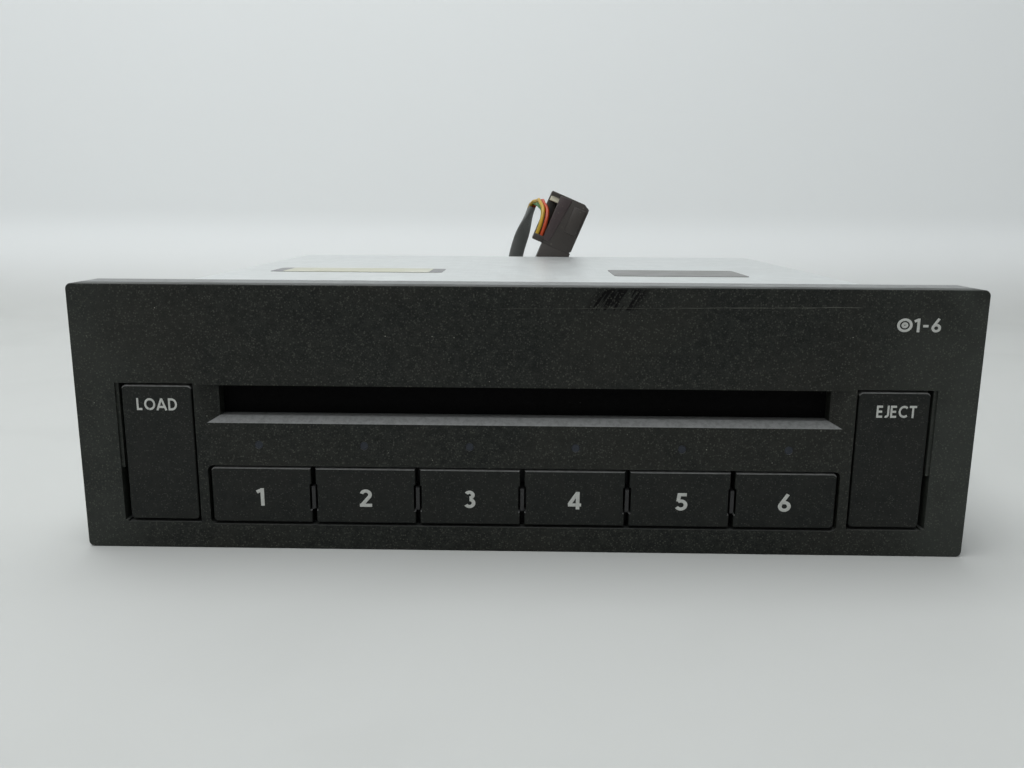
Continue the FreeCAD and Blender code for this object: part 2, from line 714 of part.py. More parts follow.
def chassis():
    """Bent sheet tray: floor and two walls, with studs for what stands on the floor."""
    outer = block(-WALL_OUT, WALL_OUT, CASE_FRONT_Y, CASE_BACK_Y, CASE_BOTTOM_Z, LID_Z)
    bends = edges_along(outer, Y_AXIS, lambda p: p.z < FLOOR_Z)
    outer = outer.makeFillet(SHEET, bends)
    inner = block(-WALL_IN, WALL_IN, CASE_FRONT_Y, CASE_BACK_Y, FLOOR_Z, LID_Z)
    pieces = [outer.cut(inner)]
    for x, y in standoff_places():
        pieces.append(rod(STANDOFF_D, MAIN_Z - FLOOR_Z, Vec(x, y, FLOOR_Z), Z_AXIS))
    for side in (-1, 1):
        pin_z = LATCH_Z1 + 2
        pieces.append(rod(LATCH_PIN_D, pin_z - FLOOR_Z, Vec(side * LATCH_X, LATCH_PIVOT_Y, FLOOR_Z), Z_AXIS))
    tray = fused(pieces)
    cuts = side_holes() + case_screw_holes(CASE_SCREW_D)
    for side in (-1, 1):
        window_y = (HOOK_Y0 - 1.5, HOOK_Y1 + 1.0)
        cuts.append(block(side * WALL_IN, side * WALL_OUT, *window_y, HOOK_Z0 - 1, HOOK_Z1 + 1))
        for y in LIFT_SCREW_YS:
            pivot = Vec(side * LIFT_SCREW_X, y, CASE_BOTTOM_Z)
            cuts.append(rod(LIFT_PIVOT_D + 2 * RUNNING_GAP, SHEET, pivot, Z_AXIS))
    return tray.cut(cuts)


def front_plate():
    """Plate that closes the case behind the bezel, with the slot for the discs."""
    plate = block(-WALL_IN, WALL_IN, CASE_FRONT_Y, PLATE_BACK_Y, FLOOR_Z, LID_Z)
    pieces = [plate]
    for side in (-1, 1):
        flange = block(side * WALL_IN, side * (WALL_IN - SHEET), PLATE_BACK_Y, PLATE_BACK_Y + PLATE_FLANGE,
                       LID_Z - COVER_FLANGE, LID_Z - FLANGE_DROP)
        pieces.append(flange)
    plate = fused(pieces)
    half = SLOT_HALF_W + 3
    cuts = [block(-half, half, CASE_FRONT_Y, PLATE_BACK_Y, LIP_Z + 0.6, FLAP_PIVOT_Z + 1.5)]
    for x, z in bezel_screw_places():
        cuts.append(rod(SCREW_HOLE_D, SHEET, Vec(x, CASE_FRONT_Y, z), Y_AXIS))
    for side in (-1, 1):
        tool_x = (side * (LATCH_X - 1.5), side * (TOOL_SLOT_X + 0.6))
        cuts.append(block(*tool_x, CASE_FRONT_Y, PLATE_BACK_Y, TOOL_SLOT_Z0, TOOL_SLOT_Z1))
    return plate.cut(cuts + case_screw_holes(CASE_SCREW_D))


def top_cover():
    """Lid with side flanges outside the chassis walls and a shallow stamped panel."""
    outer = block(-CASE_HALF, CASE_HALF, CASE_FRONT_Y, CASE_BACK_Y, CASE_TOP_Z - COVER_FLANGE, CASE_TOP_Z)
    bends = edges_along(outer, Y_AXIS, lambda p: p.z > LID_Z)
    outer = outer.makeFillet(COVER_SHEET, bends)
    inner = block(-WALL_OUT, WALL_OUT, CASE_FRONT_Y, CASE_BACK_Y, CASE_TOP_Z - COVER_FLANGE, LID_Z)
    return outer.cut([inner] + case_screw_holes(CASE_SCREW_D))


def rear_panel():
    """Back plate with flanges inside the walls, the socket's window and the lead's hole."""
    pieces = [block(-WALL_IN, WALL_IN, REAR_Y, CASE_BACK_Y, FLOOR_Z, LID_Z)]
    for side in (-1, 1):
        flange = block(side * WALL_IN, side * (WALL_IN - SHEET), REAR_Y - REAR_FLANGE, REAR_Y,
                       LID_Z - COVER_FLANGE, LID_Z - FLANGE_DROP)
        pieces.append(flange)
    panel = fused(pieces)
    half_w = SOCKET_W / 2 - SOCKET_WALL
    half_h = SOCKET_H / 2 - SOCKET_WALL
    x0, x1 = SOCKET_X - half_w, SOCKET_X + half_w
    window = block(x0, x1, REAR_Y, CASE_BACK_Y, SOCKET_Z - half_h, SOCKET_Z + half_h)
    lead_hole = rod(SLEEVE_D, SHEET, Vec(GROMMET_X, REAR_Y, GROMMET_Z), Y_AXIS)
    stud_hole = rod(STUD_D * 0.8, SHEET, Vec(STUD_X, REAR_Y, STUD_Z), Y_AXIS)
    return panel.cut([window, lead_hole, stud_hole] + case_screw_holes(CASE_SCREW_D))


def rear_stud():
    """Stud at the back that the dash's rear support takes hold of."""
    stem = rod(STUD_D, STUD_L, Vec(STUD_X, CASE_BACK_Y, STUD_Z), Y_AXIS)
    stem = stem.makeChamfer(0.5, [e for e in stem.Edges if e.BoundBox.YMin > CASE_BACK_Y + 1])
    riveted = rod(STUD_D * 0.8, SHEET, Vec(STUD_X, REAR_Y, STUD_Z), Y_AXIS)
    return fused([stem, riveted])


def rear_socket():
    """Socket shell on the rear panel, open to the back, with its row of pins."""
    half_w = SOCKET_W / 2
    half_h = SOCKET_H / 2
    back = CASE_BACK_Y + SOCKET_PROUD
    x0, x1 = SOCKET_X - half_w, SOCKET_X + half_w
    shell = block(x0, x1, CASE_BACK_Y, back, SOCKET_Z - half_h, SOCKET_Z + half_h)
    inner_y = CASE_BACK_Y + SOCKET_BACK
    hollow = block(x0 + SOCKET_WALL, x1 - SOCKET_WALL, inner_y, back,
                   SOCKET_Z - half_h + SOCKET_WALL, SOCKET_Z + half_h - SOCKET_WALL)
    pins = []
    for row in range(SOCKET_PIN_ROWS):
        z = SOCKET_Z + (row - (SOCKET_PIN_ROWS - 1) / 2) * SOCKET_PIN_PITCH - SOCKET_PIN / 2
        for place in range(SOCKET_PINS_PER_ROW):
            x = SOCKET_X + (place - (SOCKET_PINS_PER_ROW - 1) / 2) * SOCKET_PIN_PITCH - SOCKET_PIN / 2
            pins.append(block(x, x + SOCKET_PIN, CASE_BACK_Y, inner_y + SOCKET_PIN_L, z, z + SOCKET_PIN))
    return fused([shell.cut(hollow)] + pins)


def main_board():
    """Circuit board over the floor, with its larger chips."""
    pieces = [block(-MAIN_HALF_W, MAIN_HALF_W, MAIN_Y0, MAIN_Y1, MAIN_Z, MAIN_Z + MAIN_T)]
    top = MAIN_Z + MAIN_T
    for x, y, side in ((-18, 84, 14), (14, 78, 20), (20, 120, 12), (-20, 130, 18), (4, 152, 10)):
        pieces.append(block(x - side / 2, x + side / 2, y - side / 2, y + side / 2, top, top + MAIN_CHIP_H))
    return fused(pieces)


def shaft_hole(diameter, x0, x1, y, z):
    """A cutter along X with running clearance."""
    return rod(diameter + 2 * RUNNING_GAP, x1 - x0, Vec(x0, y, z), X_AXIS)


def drive_places():
    """Centres of the roller gear, the idler and the load motor's pinion, as y and z."""
    idler_reach = DRIVE_MODULE * (ROLLER_TEETH + IDLER_TEETH) / 2
    motor_reach = DRIVE_MODULE * (IDLER_TEETH + PINION_TEETH) / 2
    idler = (ROLLER_Y + IDLER_DY * idler_reach, ROLLER_Z + IDLER_DZ * idler_reach)
    motor = (idler[0] + MOTOR_DY * motor_reach, idler[1] + MOTOR_DZ * motor_reach)
    return (ROLLER_Y, ROLLER_Z), idler, motor


def drive_bracket():
    """Left bracket: one plate for the roller shaft and idler, one for the load motor."""
    roller, idler, motor = drive_places()
    inner_x = -BRACKET_LEFT_X
    outer_x = -MOTOR_PLATE_X
    back_y = motor[0] + LOAD_MOTOR_D / 2
    idler_top = idler[1] + IDLER_LUG
    pieces = [
        block(inner_x, inner_x + BRACKET_T, BRACKET_Y0, BRACKET_Y1, FLOOR_Z, BRACKET_TOP_Z),
        block(inner_x, inner_x + BRACKET_T, BRACKET_Y1, idler[0] + IDLER_LUG, FLOOR_Z, idler_top),
        block(outer_x, outer_x + BRACKET_T, motor[0] - MOTOR_LUG, back_y, FLOOR_Z, motor[1] + MOTOR_LUG),
        block(outer_x, inner_x, BRACKET_Y0, back_y, FLOOR_Z, FLOOR_Z + BRACKET_T),
        rod(MOTOR_SHAFT_D, GEAR_T + 2 * GEAR_SIDE_GAP, Vec(inner_x, idler[0], idler[1]), -X_AXIS),
    ]
    bracket = fused(pieces)
    cuts = [
        shaft_hole(SHAFT_D, inner_x, inner_x + BRACKET_T, *roller),
        rod(MOTOR_BOSS_D, BRACKET_T, Vec(outer_x, motor[0], motor[1]), X_AXIS),
    ]
    return bracket.cut(cuts)


def roller_bracket():
    """Right bracket for the roller shaft."""
    x = BRACKET_RIGHT_X
    plate = block(x, x + BRACKET_T, BRACKET_Y0, BRACKET_Y1, FLOOR_Z, BRACKET_TOP_Z)
    foot = block(x, x + BRACKET_FOOT, BRACKET_Y0, BRACKET_Y1, FLOOR_Z, FLOOR_Z + BRACKET_T)
    return fused([plate, foot]).cut(shaft_hole(SHAFT_D, x, x + BRACKET_T, ROLLER_Y, ROLLER_Z))


def disc_guide():
    """Smooth bar over the discs' path, between the two brackets."""
    z = DISC_PATH_Z + DISC_T + GUIDE_CLEAR
    bar = block(-BRACKET_LEFT_X + BRACKET_T, BRACKET_RIGHT_X, BRACKET_Y0, BRACKET_Y1, z, z + GUIDE_T)
    nose = block(-SLOT_HALF_W, SLOT_HALF_W, GUIDE_Y0, BRACKET_Y0, z, z + GUIDE_T)
    bar = fused([bar, nose])
    return bar.makeChamfer(1.2, edges_along(bar, X_AXIS, lambda p: p.y < GUIDE_Y0 + 0.1 and p.z < z + 0.1))


def feed_roller():
    """Roller shaft through both brackets."""
    x0 = GEAR_RIGHT_X - GEAR_T
    x1 = BRACKET_RIGHT_X + BRACKET_T + 0.4
    return rod(SHAFT_D, x1 - x0, Vec(x0, ROLLER_Y, ROLLER_Z), X_AXIS)


def roller_sleeves():
    """Rubber sleeves on the shaft, thinner towards the middle so that only the rims are gripped."""
    sleeves = []
    for side in (-1, 1):
        start = Vec(side * ROLLER_X0, ROLLER_Y, ROLLER_Z)
        length = ROLLER_X1 - ROLLER_X0
        cone = Part.makeCone(ROLLER_D / 2 - 0.6, ROLLER_D / 2, length, start, X_AXIS * side)
        sleeves.append(cone.cut(rod(SHAFT_D, length, start, X_AXIS * side)))
    return sleeves


def drive_gear(teeth, bore_d, place, first_tooth):
    """One gear of the roller drive, in its plane beside the left bracket."""
    gear = spur_gear(DRIVE_MODULE, teeth, GEAR_T, bore_d, first_tooth)
    return laid_along_x(gear, GEAR_RIGHT_X - GEAR_T, *place)


def idler_direction():
    """Angle from the roller's centre to the idler's, in degrees."""
    return math.degrees(math.atan2(IDLER_DZ, IDLER_DY))


def motor_direction():
    """Angle from the idler's centre to the pinion's, in degrees."""
    return math.degrees(math.atan2(MOTOR_DZ, MOTOR_DY))


def roller_gear():
    """Gear on the roller shaft; one tooth points at the idler."""
    return drive_gear(ROLLER_TEETH, SHAFT_D, drive_places()[0], idler_direction())


def idler_first_tooth():
    """The idler has a gap towards the roller gear."""
    return idler_direction() + 180 + 180 / IDLER_TEETH


def idler_gear():
    """Gear that turns on the bracket's pin."""
    return drive_gear(IDLER_TEETH, MOTOR_SHAFT_D + 2 * RUNNING_GAP, drive_places()[1], idler_first_tooth())


def motor_pinion():
    """Pinion and motor shaft in one; its teeth stand in the idler's gaps."""
    motor = drive_places()[2]
    tooth_step = 360 / IDLER_TEETH
    off_tooth = (motor_direction() - idler_first_tooth()) / tooth_step % 1
    first = motor_direction() + 180 + (off_tooth - 0.5) * 360 / PINION_TEETH
    gear = drive_gear(PINION_TEETH, 0, motor, first)
    back_x = -MOTOR_PLATE_X - 5
    front_x = GEAR_RIGHT_X - GEAR_T
    shaft = rod(MOTOR_SHAFT_D, front_x - back_x, Vec(back_x, *motor), X_AXIS)
    return fused([gear, shaft])


def load_motor():
    """Flat round motor behind its plate, open at the shaft."""
    y, z = drive_places()[2]
    front = Vec(-MOTOR_PLATE_X, y, z)
    can = rod(LOAD_MOTOR_D, LOAD_MOTOR_L, front, -X_AXIS)
    boss = rod(MOTOR_BOSS_D - 2 * RUNNING_GAP, BRACKET_T, front, X_AXIS)
    bore_l = 5 + SEAT_GAP
    bore_d = MOTOR_SHAFT_D + 2 * RUNNING_GAP
    bore = rod(bore_d, bore_l + BRACKET_T, front - Vec(bore_l, 0, 0), X_AXIS)
    return fused([can, boss]).cut(bore)


def play_arm():
    """Arm plate with its hub, toothed sector, rod blocks and a slot under the pickup."""
    tip_y = SPINDLE_Y
    pieces = [
        block(ARM_X - ARM_HALF_W, ARM_X + ARM_HALF_W, tip_y, ARM_Y, ARM_Z, ARM_Z + ARM_T),
        rod(2 * ARM_HALF_W, ARM_T, Vec(ARM_X, tip_y, ARM_Z), Z_AXIS),
        rod(2 * ARM_HALF_W, ARM_T, Vec(ARM_X, ARM_Y, ARM_Z), Z_AXIS),
        rod(HUB_D, HUB_TOP_Z - ARM_Z, Vec(ARM_X, ARM_Y, ARM_Z), Z_AXIS),
        sector(),
    ]
    block_y = tip_y + SPINDLE_MOTOR_D / 2 + 1
    far_y = tip_y + SLED_MOTOR_AT
    rod_x = ARM_X - ROD_OFFSET
    block_half = ROD_D
    top = ROD_Z + ROD_D
    for y0, y1 in ((block_y, block_y + 2), (far_y, far_y + 2)):
        pieces.append(block(rod_x - block_half, rod_x + block_half, y0, y1, ARM_Z, top))
    screw_x = ARM_X + ROD_OFFSET
    pieces.append(block(screw_x - block_half, screw_x + block_half, block_y, block_y + 2, ARM_Z, top))
    arm = fused(pieces)
    slot_y1 = far_y - 2
    cuts = [
        block(ARM_X - ARM_SLOT_HALF, ARM_X + ARM_SLOT_HALF, block_y + 2, slot_y1, ARM_Z, ARM_Z + ARM_T),
        rod(POST_D + 2 * RUNNING_GAP, POST_TOP_Z, Vec(ARM_X, ARM_Y, 0), Z_AXIS),
        rod(ROD_D, far_y - block_y + 2, Vec(rod_x, block_y, ROD_Z), Y_AXIS),
        rod(SLED_SCREW_D + 2 * RUNNING_GAP, 2, Vec(screw_x, block_y, ROD_Z), Y_AXIS),
    ]
    return arm.cut(cuts)


def sector():
    """Toothed sector under the arm's hub, over the part of the circle that the pinion needs."""
    wheel = spur_gear(DRIVE_MODULE, SECTOR_TEETH, SECTOR_T, 0, swing_direction())
    reach = DRIVE_MODULE * SECTOR_TEETH
    wedge = [Vec(0, 0, 0)]
    tooth_step = 360 / SECTOR_TEETH
    start = swing_direction() - SECTOR_BEFORE * tooth_step
    span = (SECTOR_BEFORE + SECTOR_AFTER) * tooth_step
    for step in range(5):
        angle = math.radians(start + span * step / 4)
        wedge.append(Vec(reach * math.cos(angle), reach * math.sin(angle), 0))
    teeth = wheel.common(polygon_prism(wedge, Vec(0, 0, SECTOR_T)))
    teeth = fused([teeth, rod(HUB_D, SECTOR_T, Vec(0, 0, 0), Z_AXIS)])
    return teeth.translated(Vec(ARM_X, ARM_Y, ARM_Z - SECTOR_T))


def swing_direction():
    """Angle from the arm's pivot to the swing pinion, in degrees."""
    return math.degrees(math.atan2(SWING_DY, SWING_DX))


def swing_place():
    """Centre of the swing pinion, as x and y."""
    reach = DRIVE_MODULE * (SECTOR_TEETH + SWING_TEETH) / 2
    return ARM_X + SWING_DX * reach, ARM_Y + SWING_DY * reach


def swing_pinion():
    """Pinion with its shaft; it has a gap where the sector's tooth points."""
    x, y = swing_place()
    first = swing_direction() + 180 + 180 / SWING_TEETH
    gear = spur_gear(DRIVE_MODULE, SWING_TEETH, SECTOR_T, 0, first)
    gear.translate(Vec(x, y, ARM_Z - SECTOR_T))
    motor_top = ARM_Z - SECTOR_T - 1
    shaft = rod(MOTOR_SHAFT_D, 6, Vec(x, y, motor_top - 5), Z_AXIS)
    return fused([gear, shaft])


def swing_motor():
    """Small motor that stands on the floor under its pinion."""
    x, y = swing_place()
    motor_top = ARM_Z - SECTOR_T - 1
    can = rod(SWING_MOTOR_D, motor_top - FLOOR_Z, Vec(x, y, FLOOR_Z), Z_AXIS)
    bore_l = 5 + SEAT_GAP
    return can.cut(rod(MOTOR_SHAFT_D + 2 * RUNNING_GAP, bore_l, Vec(x, y, motor_top - bore_l), Z_AXIS))


def arm_post():
    """Post on the floor with a shoulder under the arm's sector and a head above its hub."""
    shoulder = rod(POST_HEAD_D, ARM_Z - SECTOR_T - SEAT_GAP - FLOOR_Z, Vec(ARM_X, ARM_Y, FLOOR_Z), Z_AXIS)
    head_z = HUB_TOP_Z + SEAT_GAP
    post = rod(POST_D, head_z - FLOOR_Z, Vec(ARM_X, ARM_Y, FLOOR_Z), Z_AXIS)
    head = rod(POST_HEAD_D, POST_HEAD_T, Vec(ARM_X, ARM_Y, head_z), Z_AXIS)
    return fused([shoulder, post, head])


def spindle_motor():
    """Flat motor on the arm's tip with a bore for the turntable's shaft."""
    z = ARM_Z + ARM_T
    can = rod(SPINDLE_MOTOR_D, SPINDLE_MOTOR_T, Vec(ARM_X, SPINDLE_Y, z), Z_AXIS)
    can = can.makeFillet(0.6, [e for e in can.Edges if e.BoundBox.ZMin > z + 1])
    bore_l = SPINDLE_MOTOR_T - 1
    return can.cut(rod(MOTOR_SHAFT_D + 2 * RUNNING_GAP, bore_l, Vec(ARM_X, SPINDLE_Y, z + 1), Z_AXIS))


def turntable():
    """Turntable with its centring hub and shaft."""
    z = ARM_Z + ARM_T + SPINDLE_MOTOR_T + TURNTABLE_GAP
    centre = Vec(ARM_X, SPINDLE_Y, z)
    table = rod(TURNTABLE_D, TURNTABLE_T, centre, Z_AXIS)
    hub_z = Vec(ARM_X, SPINDLE_Y, z + TURNTABLE_T)
    hub = Part.makeCone(TURNTABLE_HUB_D / 2, TURNTABLE_HUB_D / 2 - 0.8, TURNTABLE_HUB_T, hub_z, Z_AXIS)
    shaft_l = SPINDLE_MOTOR_T - 1 - SEAT_GAP + TURNTABLE_GAP
    shaft = rod(MOTOR_SHAFT_D, shaft_l, centre, -Z_AXIS)
    return fused([table, hub, shaft])


def pickup_sled():
    """Sled of the pickup: slides on the rod, and its rider lies beside the lead screw."""
    y = SPINDLE_Y + SLED_NEAR
    half_l = SLED_L / 2
    left = ARM_X - ROD_OFFSET - ROD_D - 0.5
    right = ARM_X + ROD_OFFSET - SLED_SCREW_D / 2 - SEAT_GAP
    body = block(left, right, y - half_l, y + half_l, SLED_Z0, SLED_Z1)
    body = body.makeFillet(0.8, edges_along(body, Z_AXIS, lambda p: True))
    bore = rod(ROD_D + 2 * RUNNING_GAP, SLED_L, Vec(ARM_X - ROD_OFFSET, y - half_l, ROD_Z), Y_AXIS)
    seat = rod(LENS_D + 2 * RUNNING_GAP, SLED_Z1, Vec(ARM_X, y, SLED_Z0 + 2), Z_AXIS)
    return body.cut([bore, seat])


def pickup_lens():
    """Lens barrel in the sled with a domed top."""
    y = SPINDLE_Y + SLED_NEAR
    barrel = rod(LENS_D, SLED_Z1 - SLED_Z0 - 2 + 0.8, Vec(ARM_X, y, SLED_Z0 + 2), Z_AXIS)
    return barrel.makeFillet(0.6, [e for e in barrel.Edges if e.BoundBox.ZMin > SLED_Z1])


def sled_rod():
    """Guide rod of the sled between the arm's two blocks."""
    y0 = SPINDLE_Y + SPINDLE_MOTOR_D / 2 + 1
    y1 = SPINDLE_Y + SLED_MOTOR_AT + 2
    return rod(ROD_D, y1 - y0, Vec(ARM_X - ROD_OFFSET, y0, ROD_Z), Y_AXIS)


def sled_screw():
    """Lead screw beside the sled, from the front block into its motor."""
    y0 = SPINDLE_Y + SPINDLE_MOTOR_D / 2 + 1
    y1 = SPINDLE_Y + SLED_MOTOR_AT + 3
    return rod(SLED_SCREW_D, y1 - y0, Vec(ARM_X + ROD_OFFSET, y0, ROD_Z), Y_AXIS)


def sled_motor():
    """Sled motor on the arm, behind the lead screw."""
    y0 = SPINDLE_Y + SLED_MOTOR_AT
    x = ARM_X + ROD_OFFSET
    half = SLED_MOTOR_D / 2
    can = rod(SLED_MOTOR_D, SLED_MOTOR_L, Vec(x, y0, ROD_Z), Y_AXIS)
    foot = block(x - half, x + half, y0, y0 + SLED_MOTOR_L, ARM_Z + ARM_T, ROD_Z)
    motor = fused([can, foot])
    return motor.cut(rod(SLED_SCREW_D + 2 * RUNNING_GAP, 3 + SEAT_GAP, Vec(x, y0, ROD_Z), Y_AXIS))


def tray_heights():
    """Undersides of the trays, from the top one down, as they stand when parted."""
    high = [HIGH_TRAY_Z + TRAY_PITCH * i for i in (2, 1, 0)]
    low = [LOW_TRAY_Z + TRAY_PITCH * i for i in (2, 1, 0)]
    return high + low


def disc_tray(z):
    """One tray: round pocket for a disc, a window for the play arm and four lift bushes."""
    tray = block(-TRAY_HALF_W, TRAY_HALF_W, DISC_Y - TRAY_HALF_L, DISC_Y + TRAY_HALF_L, z, z + TRAY_T)
    tray = tray.makeFillet(TRAY_CORNER_R, edges_along(tray, Z_AXIS, lambda p: True))
    cuts = [rod(2 * (DISC_R + 0.6), TRAY_POCKET, Vec(0, DISC_Y, z + TRAY_T - TRAY_POCKET), Z_AXIS)]
    bush_d = LIFT_SCREW_D + 2 * LIFT_BUSH_GAP
    for side in (-1, 1):
        for y in LIFT_SCREW_YS:
            cuts.append(rod(bush_d, TRAY_T, Vec(side * LIFT_SCREW_X, y, z), Z_AXIS))
    window = block(0, TRAY_WINDOW_REACH, -TRAY_WINDOW_HALF, TRAY_WINDOW_HALF, 0, TRAY_T)
    ends = [rod(2 * TRAY_WINDOW_HALF, TRAY_T, Vec(x, 0, 0), Z_AXIS) for x in (0, TRAY_WINDOW_REACH)]
    window = window.fuse(ends)
    window.rotate(Vec(0, 0, 0), Z_AXIS, math.degrees(math.atan2(ARM_Y - DISC_Y, ARM_X)))
    cuts.append(window.translated(Vec(0, DISC_Y, z)))
    return tray.cut(cuts)


def lift_screw(side, y):
    """One lift screw: pinion, threaded stem and a pivot in the floor."""
    x = side * LIFT_SCREW_X
    first = 0 if side > 0 else 180
    gear = spur_gear(LIFT_MODULE, LIFT_TEETH, LIFT_GEAR_T, 0, first + 180 / LIFT_TEETH)
    gear.translate(Vec(x, y, LIFT_GEAR_Z))
    base_z = FLOOR_Z + SEAT_GAP
    stem = rod(LIFT_SCREW_D, LID_Z - SEAT_GAP - base_z, Vec(x, y, base_z), Z_AXIS)
    stem = stem.cut(thread_rings(x, y))
    pivot = rod(LIFT_PIVOT_D, base_z - CASE_BOTTOM_Z, Vec(x, y, CASE_BOTTOM_Z), Z_AXIS)
    return fused([stem, gear, pivot])


def thread_rings(x, y):
    """Shallow grooves round a lift screw, one for each tray at rest."""
    rings = []
    for z in tray_heights():
        ring = rod(LIFT_SCREW_D + 1, TRAY_T / 2, Vec(x, y, z + TRAY_T / 4), Z_AXIS)
        rings.append(ring.cut(rod(LIFT_SCREW_D - 0.8, TRAY_T / 2, Vec(x, y, z + TRAY_T / 4), Z_AXIS)))
    return rings


def rack_teeth(y_from, y_to, mesh_y):
    """Rack teeth on the right bar, with a tooth at mesh_y pointing at the screw."""
    pitch = math.pi * LIFT_MODULE
    pitch_x = LIFT_SCREW_X + LIFT_MODULE * LIFT_TEETH / 2
    root_x = pitch_x + 1.25 * LIFT_MODULE
    tip_x = pitch_x - LIFT_MODULE
    slope = math.tan(math.radians(20))
    half_pitch_line = pitch / 4 - 0.06
    root_half = half_pitch_line + (root_x - pitch_x) * slope
    tip_half = half_pitch_line - (pitch_x - tip_x) * slope
    first = math.ceil((y_from - mesh_y) / pitch)
    last = math.floor((y_to - mesh_y) / pitch)
    z = LIFT_GEAR_Z
    teeth = []
    for number in range(first, last + 1):
        y = mesh_y + number * pitch
        outline = [
            Vec(root_x + 0.2, y - root_half, z),
            Vec(root_x, y - root_half, z),
            Vec(tip_x, y - tip_half, z),
            Vec(tip_x, y + tip_half, z),
            Vec(root_x, y + root_half, z),
            Vec(root_x + 0.2, y + root_half, z),
        ]
        teeth.append(polygon_prism(outline, Vec(0, 0, LIFT_GEAR_T)))
    return teeth


def lift_rack():
    """Slider on the floor: two toothed bars, joined across, that turn the four lift screws."""
    root_x = LIFT_SCREW_X + LIFT_MODULE * (LIFT_TEETH / 2 + 1.25)
    mesh = 4 * LIFT_MODULE
    y0 = LIFT_SCREW_YS[0] - mesh
    y1 = LIFT_SCREW_YS[1] + RACK_TRAVEL + mesh
    bar = block(root_x, root_x + RACK_BAR, y0, y1, RACK_Z0, RACK_Z1)
    teeth = []
    for y in LIFT_SCREW_YS:
        teeth += rack_teeth(y - mesh, y + RACK_TRAVEL + mesh, y)
    right = fused([bar] + teeth)
    cross = block(-root_x - 1, root_x + 1, CROSS_Y0, CROSS_Y1, RACK_Z0, RACK_Z0 + CROSS_T)
    return fused([right, mirrored(right), cross])


def side_latch():
    """Right latch: a lever on its pin, with a ramp for the tool and a hook through the wall."""
    x0 = LATCH_X - LATCH_T / 2
    x1 = LATCH_X + LATCH_T / 2
    lever = block(x0, x1, LATCH_FRONT_Y, LATCH_PIVOT_Y, LATCH_Z0, LATCH_Z1)
    eye = rod(LATCH_EYE_D, LATCH_Z1 - LATCH_Z0, Vec(LATCH_X, LATCH_PIVOT_Y, LATCH_Z0), Z_AXIS)
    hook_points = [
        Vec(x1, HOOK_Y0, HOOK_Z0),
        Vec(HOOK_OUT, HOOK_Y0 + 3.5, HOOK_Z0),
        Vec(HOOK_OUT, HOOK_Y1, HOOK_Z0),
        Vec(x1, HOOK_Y1, HOOK_Z0),
    ]
    hook = polygon_prism(hook_points, Vec(0, 0, HOOK_Z1 - HOOK_Z0))
    latch = fused([lever, eye, hook])
    bore_z = LATCH_Z1 - LATCH_Z0
    bore_d = LATCH_PIN_D + 2 * RUNNING_GAP
    return latch.cut(rod(bore_d, bore_z, Vec(LATCH_X, LATCH_PIVOT_Y, LATCH_Z0), Z_AXIS))


def lead_grommet():
    """Tapered strain relief in the rear panel's hole."""
    base = Vec(GROMMET_X, CASE_BACK_Y, GROMMET_Z)
    neck = rod(SLEEVE_D, SHEET, base, -Y_AXIS)
    flange = rod(GROMMET_D, GROMMET_FLANGE, base, Y_AXIS)
    cone_base = base + Vec(0, GROMMET_FLANGE, 0)
    cone_l = GROMMET_OUT - GROMMET_FLANGE
    cone = Part.makeCone(GROMMET_D / 2 - 1, GROMMET_TIP_D / 2, cone_l, cone_base, Y_AXIS)
    return fused([neck, flange, cone])


def cord_path(name, points):
    """Straight runs joined by tangent arcs; prints the smallest bend radius."""
    edges = []
    start = points[0]
    radii = []
    for before, corner, after in zip(points, points[1:], points[2:]):
        into = (corner - before).normalize()
        out = (after - corner).normalize()
        half_turn = into.getAngle(out) / 2
        trim = 0.45 * min((corner - before).Length, (after - corner).Length)
        radius = trim / math.tan(half_turn)
        radii.append(round(radius, 1))
        arc_start = corner - into * trim
        arc_end = corner + out * trim
        bisector = (out - into).normalize()
        middle = corner + bisector * (radius / math.cos(half_turn) - radius)
        edges.append(Part.LineSegment(start, arc_start).toShape())
        edges.append(Part.Arc(arc_start, middle, arc_end).toShape())
        start = arc_end
    edges.append(Part.LineSegment(start, points[-1]).toShape())
    path = Part.Wire(edges)
    print(name, "radii", radii, "length", round(path.Length, 1))
    return path


def tube(name, points, diameter):
    """A round cord along a route, checked against its section times its length."""
    path = cord_path(name, points)
    section = Part.Wire([Part.makeCircle(diameter / 2, points[0], points[1] - points[0])])
    solid = path.makePipeShell([section], True, False)
    wanted = math.pi * diameter ** 2 / 4 * path.Length
    if abs(solid.Volume / wanted - 1) > 0.01:
        raise ValueError(name + " tube has the wrong volume")
    return solid


def connector_axes():
    """The connector's lower end on its centre line, and the directions up and across it."""
    tilt = math.radians(CONNECTOR_TILT)
    up = Vec(math.sin(tilt), 0, math.cos(tilt))
    across = Vec(math.cos(tilt), 0, -math.sin(tilt))
    rest = Vec(CONNECTOR_FOOT_X, CASE_BACK_Y + SEAT_GAP, SOCKET_Z + SOCKET_H / 2 + SEAT_GAP)
    return rest - across * (CONNECTOR_W / 2), up, across


def connector_block(along, side, back):
    """A block in the connector's own directions, from pairs of distances."""
    base, up, across = connector_axes()
    corners = [(along[0], side[0]), (along[0], side[1]), (along[1], side[1]), (along[1], side[0])]
    points = [base + up * a + across * s + Vec(0, back[0], 0) for a, s in corners]
    return polygon_prism(points, Vec(0, back[1] - back[0], 0))


